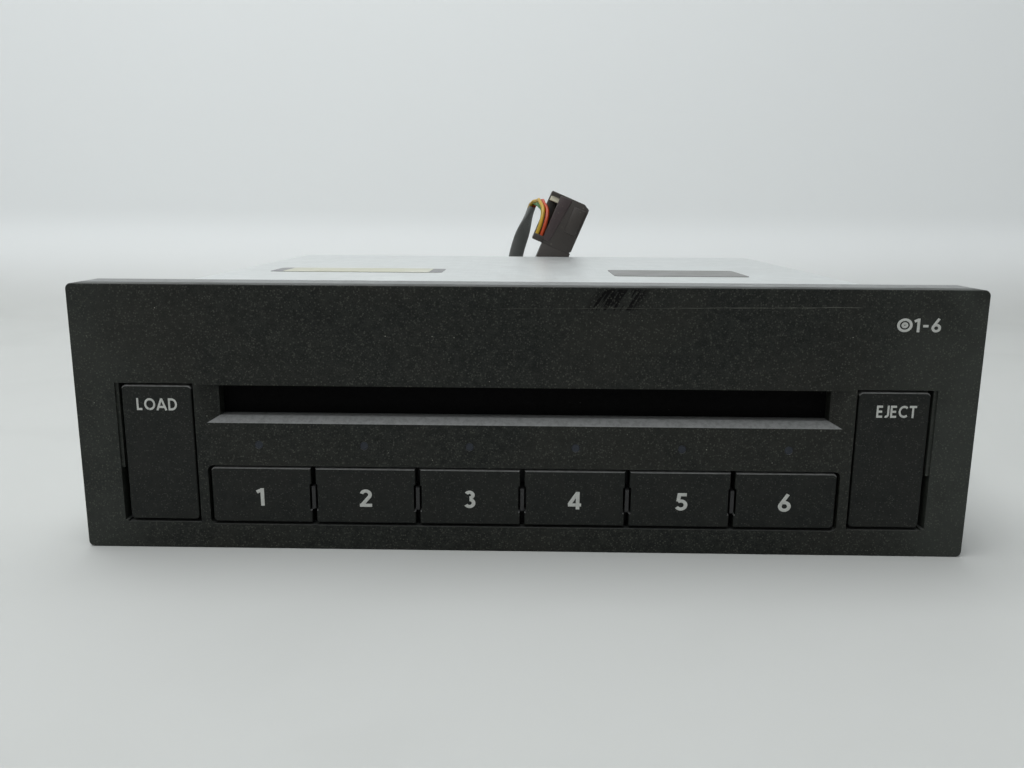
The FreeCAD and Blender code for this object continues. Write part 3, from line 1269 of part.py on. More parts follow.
def lead_connector():
    """Connector that stands on the rear socket and leans on the case's back edge."""
    half = CONNECTOR_W / 2
    upper = (CONNECTOR_COLLAR, CONNECTOR_L)
    body = connector_block(upper, (-half, half), (0, CONNECTOR_D))
    collar_depth = (0, CONNECTOR_D - CONNECTOR_BACK_STEP)
    lower = connector_block((0, CONNECTOR_COLLAR), (-half + CONNECTOR_STEP, half), collar_depth)
    bar_side = (half - LATCH_BAR_W - 2, half - 2)
    bar_depth = (CONNECTOR_D, CONNECTOR_D + LATCH_BAR_T)
    bar = connector_block((CONNECTOR_L - 12, CONNECTOR_L - 2), bar_side, bar_depth)
    bay_side = (-half - 1, -half + WIRE_BAY_W)
    bay = connector_block((WIRE_BAY_Z0, WIRE_BAY_Z1), bay_side, (-1, WIRE_BAY_DEPTH))
    whole = fused([body, lower, bar]).cut(bay)
    base, up, across = connector_axes()
    corner = base + up * CONNECTOR_L + across * half
    top_edges = [e for e in whole.Edges if abs(abs(e.tangentAt(0).y) - 1) < 1e-6
                 and e.CenterOfMass.distanceToPoint(corner + Vec(0, CONNECTOR_D / 2, 0)) < 0.5]
    return whole.makeChamfer(CONNECTOR_CHAMFER, top_edges)


def wire_route(index):
    """One wire from the sleeve's end, round the connector's shoulder and down into its bay."""
    base, up, across = connector_axes()
    column = index % 2
    row = index // 2
    sleeve_way = (SLEEVE_ROUTE[-1] - SLEEVE_ROUTE[-2]).normalize()
    aside = (column - 0.5) * WIRE_SPACE
    above = (0.5 - row) * WIRE_SPACE
    start = SLEEVE_ROUTE[-1] - sleeve_way * WIRE_SUNK + Vec(aside, -above, 0)
    over = SLEEVE_ROUTE[-1] + Vec(2.5 + aside, -8.5, 2.4 + above)
    side = -CONNECTOR_W / 2 + 1.1 + column * WIRE_SPACE
    foot = base + up * (WIRE_BAY_Z0 - WIRE_SUNK) + across * side
    foot = foot + Vec(0, 1.4 + row * 3.0, 0)
    bend = foot + up * 10.5
    turn_side = -CONNECTOR_W / 2 - 1.9 - (1 - column) * WIRE_SPACE
    turn = base + up * (27.0 + above) + across * turn_side + Vec(0, CONNECTOR_D, 0)
    return [start, start + sleeve_way * 3.2, over, turn, bend, foot]


def lead_wires():
    """Separate wires between the sleeve and the connector."""
    return [tube("wire", wire_route(i), WIRE_D) for i in range(WIRE_COUNT)]


def build():
    """Every node of the changer, by name."""
    nodes = {
        "bezel": [bezel()],
        "load_key": [end_key()],
        "eject_key": [mirrored(end_key())],
        "key_carrier": [key_carrier()],
        "light_guides": light_guides(),
        "key_switches": key_switches(),
        "front_board": [front_board()],
        "slot_flap": [slot_flap()],
        "bezel_screws": bezel_screws(),
        "case_screws": case_screws(),
        "chassis": [chassis()],
        "front_plate": [front_plate()],
        "top_cover": [top_cover()],
        "rear_panel": [rear_panel()],
        "rear_stud": [rear_stud()],
        "rear_socket": [rear_socket()],
        "main_board": [main_board()],
        "drive_bracket": [drive_bracket()],
        "roller_bracket": [roller_bracket()],
        "disc_guide": [disc_guide()],
        "feed_roller": [feed_roller()],
        "roller_sleeves": roller_sleeves(),
        "roller_gear": [roller_gear()],
        "idler_gear": [idler_gear()],
        "motor_pinion": [motor_pinion()],
        "load_motor": [load_motor()],
        "play_arm": [play_arm()],
        "arm_post": [arm_post()],
        "swing_motor": [swing_motor()],
        "swing_pinion": [swing_pinion()],
        "spindle_motor": [spindle_motor()],
        "turntable": [turntable()],
        "pickup_sled": [pickup_sled()],
        "pickup_lens": [pickup_lens()],
        "sled_rod": [sled_rod()],
        "sled_screw": [sled_screw()],
        "sled_motor": [sled_motor()],
        "lift_rack": [lift_rack()],
        "latch_right": [side_latch()],
        "latch_left": [mirrored(side_latch())],
        "lead_grommet": [lead_grommet()],
        "lead_sleeve": [tube("sleeve", SLEEVE_ROUTE, SLEEVE_D)],
        "lead_wires": lead_wires(),
        "lead_connector": [lead_connector()],
    }
    for index in range(DISC_KEY_COUNT):
        nodes["disc_key_%d" % (index + 1)] = [disc_key(index)]
    for index, z in enumerate(tray_heights()):
        nodes["disc_tray_%d" % (index + 1)] = [disc_tray(z)]
    screws = [(side, y) for y in LIFT_SCREW_YS for side in (-1, 1)]
    for index, (side, y) in enumerate(screws):
        nodes["lift_screw_%d" % (index + 1)] = [lift_screw(side, y)]
    return nodes


def main():
    os.makedirs("parts", exist_ok=True)
    nodes = build()
    for node, shapes in nodes.items():
        save(node, shapes)
    print(len(nodes), "nodes")


main()
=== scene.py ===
"""Looks of an in-dash disc changer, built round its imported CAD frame.

Metres, in the frame of the CAD: +Y runs from the bezel to the rear panel, +Z is up, and
the floor is at z = 0. The CAD nodes keep their shape and get finishes. New pieces are the
print on the keys, the labels on the lid, and the lead with its wires and connector.
"""

import json
import math

import bmesh
import bpy
from mathutils import Matrix, Vector


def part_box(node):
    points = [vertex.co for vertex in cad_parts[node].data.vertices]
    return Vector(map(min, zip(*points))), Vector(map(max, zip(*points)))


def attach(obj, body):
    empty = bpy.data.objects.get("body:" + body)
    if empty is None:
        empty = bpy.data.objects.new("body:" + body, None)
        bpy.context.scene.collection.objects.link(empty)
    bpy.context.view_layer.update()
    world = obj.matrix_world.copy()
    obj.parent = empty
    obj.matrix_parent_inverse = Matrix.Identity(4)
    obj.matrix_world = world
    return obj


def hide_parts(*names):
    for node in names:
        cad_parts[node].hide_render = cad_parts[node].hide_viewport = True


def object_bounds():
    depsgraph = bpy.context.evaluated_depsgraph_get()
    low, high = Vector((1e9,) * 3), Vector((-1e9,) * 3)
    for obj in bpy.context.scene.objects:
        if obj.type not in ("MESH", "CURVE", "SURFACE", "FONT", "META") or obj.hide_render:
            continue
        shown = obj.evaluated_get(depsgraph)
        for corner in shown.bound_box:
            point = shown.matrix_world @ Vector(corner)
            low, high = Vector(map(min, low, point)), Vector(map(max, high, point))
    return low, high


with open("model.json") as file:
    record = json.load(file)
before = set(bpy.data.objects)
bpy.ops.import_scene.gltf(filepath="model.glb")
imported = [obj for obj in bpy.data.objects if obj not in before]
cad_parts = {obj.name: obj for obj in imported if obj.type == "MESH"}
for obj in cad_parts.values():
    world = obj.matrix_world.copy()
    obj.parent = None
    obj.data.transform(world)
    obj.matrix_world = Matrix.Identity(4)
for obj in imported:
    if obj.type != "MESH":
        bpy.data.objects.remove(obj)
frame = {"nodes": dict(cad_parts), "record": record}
CAD_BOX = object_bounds()
MM = 0.001

# Camera: the eye's place and the turns of the view
PICTURE_W = 1024
FOCAL_PX = 864
SENSOR_W = 36.0
EYE = Vector((0.5, -270.0, 72.5)) * MM
LOOK_DOWN = math.radians(11.48)
LOOK_LEFT = math.radians(0.92)
CAMERA_ROLL = math.radians(0.38)

# Stage: a floor whose back edge sweeps up into a wall, and the light that rays meet
FLOOR_BACK = 0.36
FLOOR_SIZE = (4.4, 2.2)
WALL_H = 1.4
SWEEP_R = 0.07
WALL_GLOW = (0.10, 0.105, 0.105, 1)
WORLD_LEVEL = 0.26
WORLD_SEEN = 0.46
WORLD_GLOSSY = 0.14

# Lead: the route's points are the centre line's control points
SLEEVE_D = 6.3 * MM
SLEEVE_THICK = 3.4 * MM
SLEEVE_FLATTENS = (18.0 * MM, 48.0 * MM)
SLEEVE_TWISTS = (58.0 * MM, 78.0 * MM)
SLEEVE_ROUTE = [Vector(p) * MM for p in (
    (-6.0, 91.5, 18.0), (-6.0, 103.0, 18.0), (-6.2, 114.6, 24.8), (-6.0, 121.6, 37.1),
    (-4.9, 120.5, 51.0), (-1.4, 116.5, 62.4), (2.7, 111.0, 74.0))]
BRAID_STRANDS = 16
BRAID_PITCH = 12.0 * MM
BRAID_RELIEF = 0.07 * MM
BRAID_FIBRES = 4
SLEEVE_STEP = 0.28 * MM
SLEEVE_SIDES = 96

# Its wires: each end is WIRE_SUNK deep in what holds it
WIRE_D = 1.5 * MM
WIRE_SUNK = 1.5 * MM
WIRE_RISE = 3.2 * MM
WIRE_SPACE = 1.9 * MM
WIRE_OVER = (3.6 * MM, -8.0 * MM, 0.9 * MM)
WIRE_TURN_Z = 27.0 * MM
WIRE_TURN_OUT = 1.9 * MM
WIRE_FOOT_IN = 1.1 * MM
WIRE_BEND_UP = 10.5 * MM
WIRE_ROW_Y = 1.4 * MM
WIRE_ROW_STEP = 3.0 * MM
WIRE_COLOURS = {
    "yellow": (0.46, 0.28, 0.012),
    "orange": (0.46, 0.050, 0.005),
    "green": (0.024, 0.14, 0.008),
    "black": (0.012, 0.012, 0.012),
}

# Connector at the end of the lead, tilted, and SEAT_GAP clear of the rear panel and socket
CONNECTOR_TILT = math.radians(23.0)
CONNECTOR_FOOT_X = 12.9 * MM
SEAT_GAP = 0.3 * MM
CONNECTOR_PINS = 8

# Its housing, upright about the lower end, in millimetres
HALF_W = 8.3
DEPTH = 13.0
SHELL_X = -4.1
SHELL_FOOT_Z = 12.5
SHELL_TOP_Z = 33.0
BAY_X = -3.6
BAY_FLOOR_Z = 15.0
CAP_Z = 31.2
NEAR = 0.1
CONNECTOR_W = 2 * HALF_W * MM
CONNECTOR_D = DEPTH * MM

# The front's plastics reflect less than plain plastic
DARK_SPECULAR = 0.24

# Marks on the front: a scratch that rises to the right, and rub marks that lean
SCRATCH_X = (-3 * MM, 67 * MM)
SCRATCH_Z = 52.53 * MM
SCRATCH_SLOPE = 0.0113
RUB_X = (15.5 * MM, 22.5 * MM)
RUB_Z = (52.5 * MM, 56.4 * MM)
RUB_MIDDLE_Z = 54.5 * MM
RUB_LEAN = 0.6

# Labels on the lid
LABEL_Y = (-10 * MM, 6 * MM)
LABEL_ENDS_X = (-77 * MM, -25 * MM)
OLIVE_X = (-73 * MM, -29 * MM)
GREY_X = (26 * MM, 65 * MM)
GREY_Y = (-18.5 * MM, 5.5 * MM)

# Print on the keys
STROKE = 0.18
LETTER_GAP = 0.11
DIGIT_BROAD = 1.12
PRINT_PROUD = 0.03 * MM
DIGIT_Z = (9.6 * MM, 13.5 * MM)
DIGIT_SHIFT = {"1": -0.4 * MM, "5": 0.45 * MM}
WORD_Z = (30.4 * MM, 33.0 * MM)
LOAD_X = (-81.25 * MM, -72.7 * MM)
EJECT_X = (73.35 * MM, 81.6 * MM)
SIGN_X = (80.2 * MM, 80.2 * MM)
SIGN_Z = (48.4 * MM, 51.2 * MM)


# ---------------------------------------------------------------- shared modelling steps

def deselect_all():
    if bpy.context.object and bpy.context.object.mode != "OBJECT":
        bpy.ops.object.mode_set(mode="OBJECT")
    bpy.ops.object.select_all(action="DESELECT")


def activate(piece):
    deselect_all()
    piece.select_set(True)
    bpy.context.view_layer.objects.active = piece


def rename(piece, name):
    piece.name = name
    piece.data.name = name
    return piece


def start_box(name, low, high):
    """A cube between two corners, active and with its place in its mesh."""
    deselect_all()
    low, high = Vector(low), Vector(high)
    bpy.ops.mesh.primitive_cube_add(size=1, location=(low + high) / 2)
    piece = rename(bpy.context.object, name)
    piece.scale = high - low
    bpy.ops.object.transform_apply(location=True, rotation=True, scale=True)
    return piece


def add(name, data):
    """An object in the scene that holds the data."""
    thing = bpy.data.objects.new(name, data)
    bpy.context.scene.collection.objects.link(thing)
    return thing


def enter_edit(piece, kind):
    """Into edit mode with nothing selected; gives the mesh that is being edited."""
    activate(piece)
    bpy.ops.object.mode_set(mode="EDIT")
    bpy.ops.mesh.select_mode(type=kind)
    bpy.ops.mesh.select_all(action="DESELECT")
    return bmesh.from_edit_mesh(piece.data)


def select_faces(piece, wanted):
    """Into edit mode with only the faces selected whose centre and normal are wanted."""
    mesh = enter_edit(piece, "FACE")
    for face in mesh.faces:
        face.select_set(bool(wanted(face.calc_center_median(), face.normal)))
    mesh.select_flush(True)
    bmesh.update_edit_mesh(piece.data)


def select_edges(piece, wanted):
    """Into edit mode with only the edges selected whose two ends are wanted."""
    mesh = enter_edit(piece, "EDGE")
    for edge in mesh.edges:
        edge.select_set(bool(wanted(edge.verts[0].co, edge.verts[1].co)))
    bmesh.update_edit_mesh(piece.data)


def leave_edit():
    bpy.ops.object.mode_set(mode="OBJECT")


def soften(piece, width, segments=2, angle=40):
    """Bevel the sharp edges, merged to real geometry."""
    activate(piece)
    bevel = piece.modifiers.new("edges", "BEVEL")
    bevel.width = width
    bevel.segments = segments
    bevel.limit_method = "ANGLE"
    bevel.angle_limit = math.radians(angle)
    bpy.ops.object.modifier_apply(modifier="edges")
    bpy.ops.object.shade_smooth_by_angle(angle=math.radians(35))


def join(name, pieces):
    deselect_all()
    for piece in pieces:
        piece.select_set(True)
    bpy.context.view_layer.objects.active = pieces[0]
    if len(pieces) > 1:
        bpy.ops.object.join()
    return rename(bpy.context.object, name)


def place(piece, matrix):
    """Moves a piece by a matrix, with the place kept in its mesh."""
    piece.data.transform(matrix)
    piece.data.update()
    return piece


def dress(piece, material, body="case"):
    """One finish all over, and the body that the piece rides on."""
    piece.data.materials.clear()
    piece.data.materials.append(material)
    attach(piece, body)
    return piece


# ---------------------------------------------------------------- shared surface effects

def new_group(name, inputs, outputs):
    """A shader node group with its sockets, and its input and output nodes."""
    tree = bpy.data.node_groups.new(name, "ShaderNodeTree")
    for label, kind, value in inputs:
        socket = tree.interface.new_socket(name=label, in_out="INPUT", socket_type=kind)
        if value is not None:
            socket.default_value = value
    for label in outputs:
        tree.interface.new_socket(name=label, in_out="OUTPUT", socket_type="NodeSocketFloat")
    return tree, tree.nodes.new("NodeGroupInput"), tree.nodes.new("NodeGroupOutput")


def put(tree, kind, values=None, **settings):
    """Adds a node; values fill its sockets, and a socket given as a value is linked."""
    node = tree.nodes.new(kind)
    for key, value in settings.items():
        setattr(node, key, value)
    for key, value in (values or {}).items():
        if isinstance(value, bpy.types.NodeSocket):
            tree.links.new(value, node.inputs[key])
        else:
            node.inputs[key].default_value = value
    return node


def calc(tree, operation, first, second=0.0, third=0.0, clamp=False):
    node = put(tree, "ShaderNodeMath", {0: first, 1: second, 2: third}, operation=operation)
    node.use_clamp = clamp
    return node.outputs[0]


def ramp(tree, value, low, high, to_low=0.0, to_high=1.0):
    node = put(tree, "ShaderNodeMapRange", {"Value": value, "From Min": low, "From Max": high,
                                            "To Min": to_low, "To Max": to_high})
    node.interpolation_type = "SMOOTHSTEP"
    return node.outputs["Result"]


def noise(tree, where, scale, detail=3.0, roughness=0.5):
    node = put(tree, "ShaderNodeTexNoise", {"Vector": where, "Scale": scale, "Detail": detail,
                                            "Roughness": roughness})
    return node.outputs["Fac"]


def turned(tree, where, turn=(0, 0, 0), scale=(1, 1, 1)):
    """Coordinates turned first, then stretched."""
    spun = put(tree, "ShaderNodeMapping", {"Vector": where, "Rotation": turn})
    return put(tree, "ShaderNodeMapping", {"Vector": spun.outputs[0], "Scale": scale}).outputs[0]


FLOAT = "NodeSocketFloat"
VECTOR = "NodeSocketVector"


def dust_group():
    """Specks of dust, one in some of the cells; Amount is the share of cells that hold one."""
    tree, given, out = new_group("dust specks", [
        ("Where", VECTOR, None), ("Cells per metre", FLOAT, 800.0),
        ("Size", FLOAT, 0.25), ("Amount", FLOAT, 0.3)], ["Mask"])
    cells = put(tree, "ShaderNodeTexVoronoi", {"Vector": given.outputs["Where"],
                                               "Scale": given.outputs["Cells per metre"]})
    draw = put(tree, "ShaderNodeSeparateColor", {"Color": cells.outputs["Color"]})
    held = calc(tree, "LESS_THAN", draw.outputs["Red"], given.outputs["Amount"])
    radius = calc(tree, "MULTIPLY", given.outputs["Size"],
                  calc(tree, "MULTIPLY_ADD", draw.outputs["Green"], 0.8, 0.3))
    inside = calc(tree, "SUBTRACT", 1.0,
                  calc(tree, "DIVIDE", cells.outputs["Distance"], radius), clamp=True)
    strength = calc(tree, "MULTIPLY", inside, calc(tree, "ADD", draw.outputs["Blue"], 0.5))
    tree.links.new(calc(tree, "MULTIPLY", held, strength, clamp=True), out.inputs["Mask"])
    return tree


def grain_group():
    """Eroded grain of a moulded face: a height for bumps and a tone for colour."""
    tree, given, out = new_group("mould grain", [
        ("Where", VECTOR, None), ("Scale", FLOAT, 2600.0)], ["Height", "Tone"])
    fine = noise(tree, given.outputs["Where"], given.outputs["Scale"], 2.0, 0.6)
    broad_scale = calc(tree, "MULTIPLY", given.outputs["Scale"], 0.22)
    broad = noise(tree, given.outputs["Where"], broad_scale, 3.0, 0.6)
    tree.links.new(fine, out.inputs["Height"])
    mixed = calc(tree, "MULTIPLY_ADD", broad, 0.45, calc(tree, "MULTIPLY", fine, 0.55))
    tree.links.new(ramp(tree, mixed, 0.36, 0.64), out.inputs["Tone"])
    return tree


def scuff_group():
    """Fine scratches two ways across each other, in patches."""
    tree, given, out = new_group("scuffs", [
        ("Where", VECTOR, None), ("Scale", FLOAT, 120.0), ("Amount", FLOAT, 0.4)], ["Mask"])
    where = given.outputs["Where"]
    lines = None
    for turn, stretch in (((0.3, 0.5, 0.35), (1, 26, 26)), ((0.2, -0.4, 1.2), (22, 1, 22))):
        field = noise(tree, turned(tree, where, turn, stretch), given.outputs["Scale"], 1.0)
        ridge = calc(tree, "ABSOLUTE", calc(tree, "SUBTRACT", field, 0.5))
        line = ramp(tree, ridge, 0.0, 0.012, 1.0, 0.0)
        lines = line if lines is None else calc(tree, "MAXIMUM", lines, line)
    patches = noise(tree, where, calc(tree, "MULTIPLY", given.outputs["Scale"], 0.35), 2.0)
    kept = ramp(tree, patches, calc(tree, "SUBTRACT", 0.75, given.outputs["Amount"]), 0.8)
    tree.links.new(calc(tree, "MULTIPLY", lines, kept), out.inputs["Mask"])
    return tree


def smear_group():
    """Broad smears and finger marks, for a finish that isn't evenly clean."""
    tree, given, out = new_group("smears", [
        ("Where", VECTOR, None), ("Scale", FLOAT, 30.0)], ["Mask"])
    field = put(tree, "ShaderNodeTexNoise", {"Vector": given.outputs["Where"],
                                             "Scale": given.outputs["Scale"], "Detail": 4.0,
                                             "Distortion": 1.4}).outputs["Fac"]
    tree.links.new(ramp(tree, field, 0.4, 0.68), out.inputs["Mask"])
    return tree


def settled_group():
    """Settled dust and painted top light on whatever faces up, a little patchy."""
    tree, given, out = new_group("settled dust and top light", [
        ("Where", VECTOR, None), ("Facing", VECTOR, None), ("Scale", FLOAT, 700.0),
        ("From", FLOAT, 0.3), ("To", FLOAT, 0.72)], ["Mask"])
    up = put(tree, "ShaderNodeSeparateXYZ", {"Vector": given.outputs["Facing"]}).outputs["Z"]
    patchy = noise(tree, given.outputs["Where"], given.outputs["Scale"], 4.0, 0.7)
    kept = ramp(tree, patchy, 0.3, 0.62, 0.68, 1.0)
    level = ramp(tree, up, given.outputs["From"], given.outputs["To"])
    tree.links.new(calc(tree, "MULTIPLY", level, kept), out.inputs["Mask"])
    return tree


DUST = dust_group()
GRAIN = grain_group()
SCUFFS = scuff_group()
SMEARS = smear_group()
# One mask for upward faces: dust that has settled there, and painted top light.
SETTLED_AND_TOP_LIGHT = settled_group()


# ---------------------------------------------------------------- finishes

class Finish:
    """A material on Object coordinates whose colour and roughness are laid on in steps."""

    def __init__(self, name, colour, roughness, metallic=0.0):
        self.material = bpy.data.materials.new(name)
        self.material.use_nodes = True
        self.tree = self.material.node_tree
        self.shader = self.tree.nodes["Principled BSDF"]
        self.shader.inputs["Metallic"].default_value = metallic
        coordinates = put(self.tree, "ShaderNodeTexCoord")
        self.where = coordinates.outputs["Object"]
        self.facing = coordinates.outputs["Normal"]
        self.colour = (*colour, 1)
        self.rough = roughness
        self.normal = None

    def group(self, group, output=0, **values):
        """One of the shared effects on this finish; underscores in a name are spaces."""
        node = self.tree.nodes.new("ShaderNodeGroup")
        node.node_tree = group
        self.tree.links.new(self.where, node.inputs["Where"])
        if "Facing" in node.inputs:
            self.tree.links.new(self.facing, node.inputs["Facing"])
        for key, value in values.items():
            node.inputs[key.replace("_", " ")].default_value = value
        return node.outputs[output]

    def lay(self, mask, colour, strength=1.0):
        """Lays a colour over the last one where the mask is."""
        factor = calc(self.tree, "MULTIPLY", mask, strength, clamp=True)
        mix = put(self.tree, "ShaderNodeMix", data_type="RGBA")
        self.tree.links.new(factor, mix.inputs["Factor"])
        self.fill(mix.inputs["A"], self.colour)
        mix.inputs["B"].default_value = (*colour, 1)
        self.colour = mix.outputs["Result"]

    def polish(self, mask, change):
        """Adds to the roughness where the mask is."""
        self.rough = calc(self.tree, "MULTIPLY_ADD", mask, change, self.rough)

    def bump(self, height, depth):
        node = put(self.tree, "ShaderNodeBump", {"Height": height, "Distance": depth,
                                                 "Strength": 1.0})
        if self.normal:
            self.tree.links.new(self.normal, node.inputs["Normal"])
        self.normal = node.outputs[0]

    def fill(self, socket, value):
        if isinstance(value, bpy.types.NodeSocket):
            self.tree.links.new(value, socket)
        else:
            socket.default_value = value

    def grain(self, scale, colour, strength):
        """Lays a colour on the high parts of the mould grain."""
        self.lay(self.group(GRAIN, "Tone", Scale=scale), colour, strength)

    def pit(self, scale, depth):
        """The mould grain as bumps."""
        self.bump(self.group(GRAIN, "Height", Scale=scale), depth)

    def dust(self, cells_per_metre, size, amount, colour, strength):
        """Lays a colour on specks of dust."""
        specks = self.group(DUST, Cells_per_metre=cells_per_metre, Size=size, Amount=amount)
        self.lay(specks, colour, strength)

    def shine(self, level):
        self.shader.inputs["Specular IOR Level"].default_value = level

    def done(self):
        self.fill(self.shader.inputs["Base Color"], self.colour)
        self.fill(self.shader.inputs["Roughness"], self.rough)
        if self.normal:
            self.tree.links.new(self.normal, self.shader.inputs["Normal"])
        return self.material


def axes_of(finish):
    axes = put(finish.tree, "ShaderNodeSeparateXYZ", {"Vector": finish.where})
    return axes.outputs["X"], axes.outputs["Y"], axes.outputs["Z"]


def within(tree, value, low, high, edge):
    """1 between two places, with soft ends."""
    return calc(tree, "MULTIPLY", ramp(tree, value, low - edge, low),
                ramp(tree, value, high, high + edge, 1.0, 0.0))


def long_scratch(finish):
    """A broken hairline along the upper part of the face, strongest near its right end."""
    tree = finish.tree
    x, _, z = axes_of(finish)
    wander = noise(tree, turned(tree, finish.where, scale=(1, 0, 0)), 90.0, 2.0)
    line_z = calc(tree, "MULTIPLY_ADD", x, SCRATCH_SLOPE, SCRATCH_Z)
    line_z = calc(tree, "MULTIPLY_ADD", calc(tree, "SUBTRACT", wander, 0.5), 0.5 * MM, line_z)
    off = calc(tree, "ABSOLUTE", calc(tree, "SUBTRACT", z, line_z))
    line = ramp(tree, off, 0.01 * MM, 0.085 * MM, 1.0, 0.0)
    breaks = ramp(tree, noise(tree, finish.where, 420.0, 2.0), 0.38, 0.6, 0.4, 1.0)
    span = within(tree, x, *SCRATCH_X, 3 * MM)
    stronger = ramp(tree, x, 25 * MM, 45 * MM, 0.4, 1.0)
    marks = calc(tree, "MULTIPLY", calc(tree, "MULTIPLY", line, breaks), span)
    return calc(tree, "MULTIPLY", marks, stronger)


def rubbed_patch(finish):
    """Dark rub marks that lean to the right, at the top edge right of the middle."""
    tree = finish.tree
    x, _, z = axes_of(finish)
    slanted = turned(tree, finish.where, (0, math.radians(-32), 0), (24, 1, 3))
    streaks = ramp(tree, noise(tree, slanted, 60.0, 3.0), 0.44, 0.54)
    across = calc(tree, "ADD", x, RUB_LEAN * RUB_MIDDLE_Z)
    across = calc(tree, "MULTIPLY_ADD", z, -RUB_LEAN, across)
    span = within(tree, across, *RUB_X, 3 * MM)
    height = within(tree, z, *RUB_Z, 0.4 * MM)
    return calc(tree, "MULTIPLY", calc(tree, "MULTIPLY", streaks, span), height)


def pale_ends(finish):
    """Haze near both ends of the front, more of it on the right."""
    tree = finish.tree
    x, _, _ = axes_of(finish)
    right = ramp(tree, x, 62 * MM, 96 * MM)
    left = ramp(tree, x, -96 * MM, -70 * MM, 0.75, 0.0)
    patchy = ramp(tree, noise(tree, finish.where, 70.0, 3.0), 0.3, 0.65, 0.35, 1.0)
    return calc(tree, "MULTIPLY", calc(tree, "MAXIMUM", left, right), patchy)


def dusty_ledges(finish):
    """Dust and painted highlight on ledges: faint low down, none on the top's front edge."""
    tree = finish.tree
    _, y, z = axes_of(finish)
    settled = finish.group(SETTLED_AND_TOP_LIGHT, Scale=900.0)
    low = ramp(tree, z, 12 * MM, 20 * MM, 0.2, 1.0)
    kept = calc(tree, "MAXIMUM", ramp(tree, y, -91.6 * MM, -89.0 * MM),
                ramp(tree, z, 50 * MM, 54 * MM, 1.0, 0.0))
    return calc(tree, "MULTIPLY", settled, calc(tree, "MULTIPLY", low, kept))


def bezel_plastic():
    """Dark moulded plastic, dulled by fine dust, with a scratch and rub marks; dust and painted
    highlight on its ledges.
    """
    finish = Finish("bezel plastic", (0.0018, 0.0030, 0.0024), 0.44)
    finish.grain(3300.0, (0.0165, 0.0190, 0.0155), 1.0)
    finish.lay(finish.group(SMEARS, Scale=22.0), (0.0180, 0.0180, 0.0140), 0.5)
    finish.lay(pale_ends(finish), (0.0380, 0.0430, 0.0370), 0.8)
    rubbed = rubbed_patch(finish)
    finish.lay(rubbed, (0.001, 0.001, 0.001), 1.0)
    finish.dust(2900.0, 0.62, 0.62, (0.082, 0.084, 0.070), 0.68)
    finish.dust(420.0, 0.10, 0.20, (0.46, 0.46, 0.40), 1.0)
    finish.lay(long_scratch(finish), (0.15, 0.15, 0.13), 0.9)
    # Dust and painted highlight: a pale colour on the lip, the top and the upward edges, where
    # light from above falls.
    finish.lay(dusty_ledges(finish), (0.200, 0.206, 0.203), 1.0)
    finish.polish(finish.group(SMEARS, Scale=60.0), 0.10)
    finish.polish(rubbed, 0.5)
    finish.pit(3200.0, 0.035 * MM)
    finish.bump(rubbed, -0.06 * MM)
    finish.shine(DARK_SPECULAR)
    return finish.done()


def key_plastic():
    """Smoother and blacker than the bezel, with finger marks, and dust and a painted highlight on
    top edges.
    """
    finish = Finish("key plastic", (0.0036, 0.0050, 0.0042), 0.38)
    finish.grain(3300.0, (0.0112, 0.0130, 0.0108), 1.0)
    finish.lay(finish.group(SMEARS, Scale=70.0), (0.0125, 0.0130, 0.0108), 0.45)
    finish.dust(2900.0, 0.5, 0.42, (0.070, 0.072, 0.062), 0.7)
    finish.dust(380.0, 0.09, 0.16, (0.30, 0.30, 0.27), 0.8)
    # Painted highlight along the keys' top edges, with dust that has settled there: pale where they
    # face up.
    finish.lay(finish.group(SETTLED_AND_TOP_LIGHT, Scale=900.0, From=0.06, To=0.45),
               (0.290, 0.295, 0.290), 1.0)
    finish.polish(finish.group(SMEARS, Scale=90.0), 0.12)
    finish.pit(4200.0, 0.012 * MM)
    finish.shine(DARK_SPECULAR)
    return finish.done()


def key_print():
    finish = Finish("key print", (0.56, 0.57, 0.54), 0.6)
    finish.grain(2600.0, (0.44, 0.45, 0.42), 0.8)
    finish.dust(1500.0, 0.4, 0.12, (0.05, 0.05, 0.05), 0.8)
    return finish.done()


def clear_plastic():
    finish = Finish("light guide", (0.018, 0.022, 0.030), 0.36)
    finish.grain(900.0, (0.028, 0.034, 0.044), 0.6)
    finish.dust(1500.0, 0.3, 0.2, (0.12, 0.12, 0.11), 0.5)
    finish.pit(1800.0, 0.02 * MM)
    finish.shine(0.3)
    return finish.done()


def flap_felt():
    """Black flocked face of the slot's dust flap."""
    finish = Finish("flap felt", (0.0022, 0.0022, 0.0023), 0.95)
    finish.grain(3800.0, (0.0045, 0.0045, 0.0045), 0.8)
    finish.dust(900.0, 0.22, 0.06, (0.07, 0.07, 0.065), 0.5)
    finish.pit(5200.0, 0.06 * MM)
    finish.shine(0.1)
    return finish.done()


def inner_plastic():
    finish = Finish("inner plastic", (0.012, 0.0125, 0.013), 0.55)
    finish.grain(1300.0, (0.022, 0.022, 0.022), 0.7)
    finish.dust(700.0, 0.3, 0.12, (0.16, 0.16, 0.15), 0.4)
    finish.pit(2600.0, 0.03 * MM)
    return finish.done()


def tray_plastic():
    finish = Finish("tray plastic", (0.075, 0.077, 0.082), 0.42)
    finish.grain(700.0, (0.10, 0.10, 0.105), 0.6)
    finish.lay(finish.group(SCUFFS, Scale=140.0, Amount=0.25), (0.2, 0.2, 0.2), 0.4)
    finish.pit(2000.0, 0.02 * MM)
    return finish.done()


def gear_nylon():
    finish = Finish("gear nylon", (0.66, 0.63, 0.54), 0.38)
    finish.grain(500.0, (0.74, 0.72, 0.65), 0.7)
    finish.lay(finish.group(SMEARS, Scale=160.0), (0.42, 0.36, 0.25), 0.3)
    finish.shader.inputs["Subsurface Weight"].default_value = 0.1
    finish.shader.inputs["Subsurface Radius"].default_value = (0.001, 0.0008, 0.0006)
    finish.pit(1500.0, 0.015 * MM)
    return finish.done()


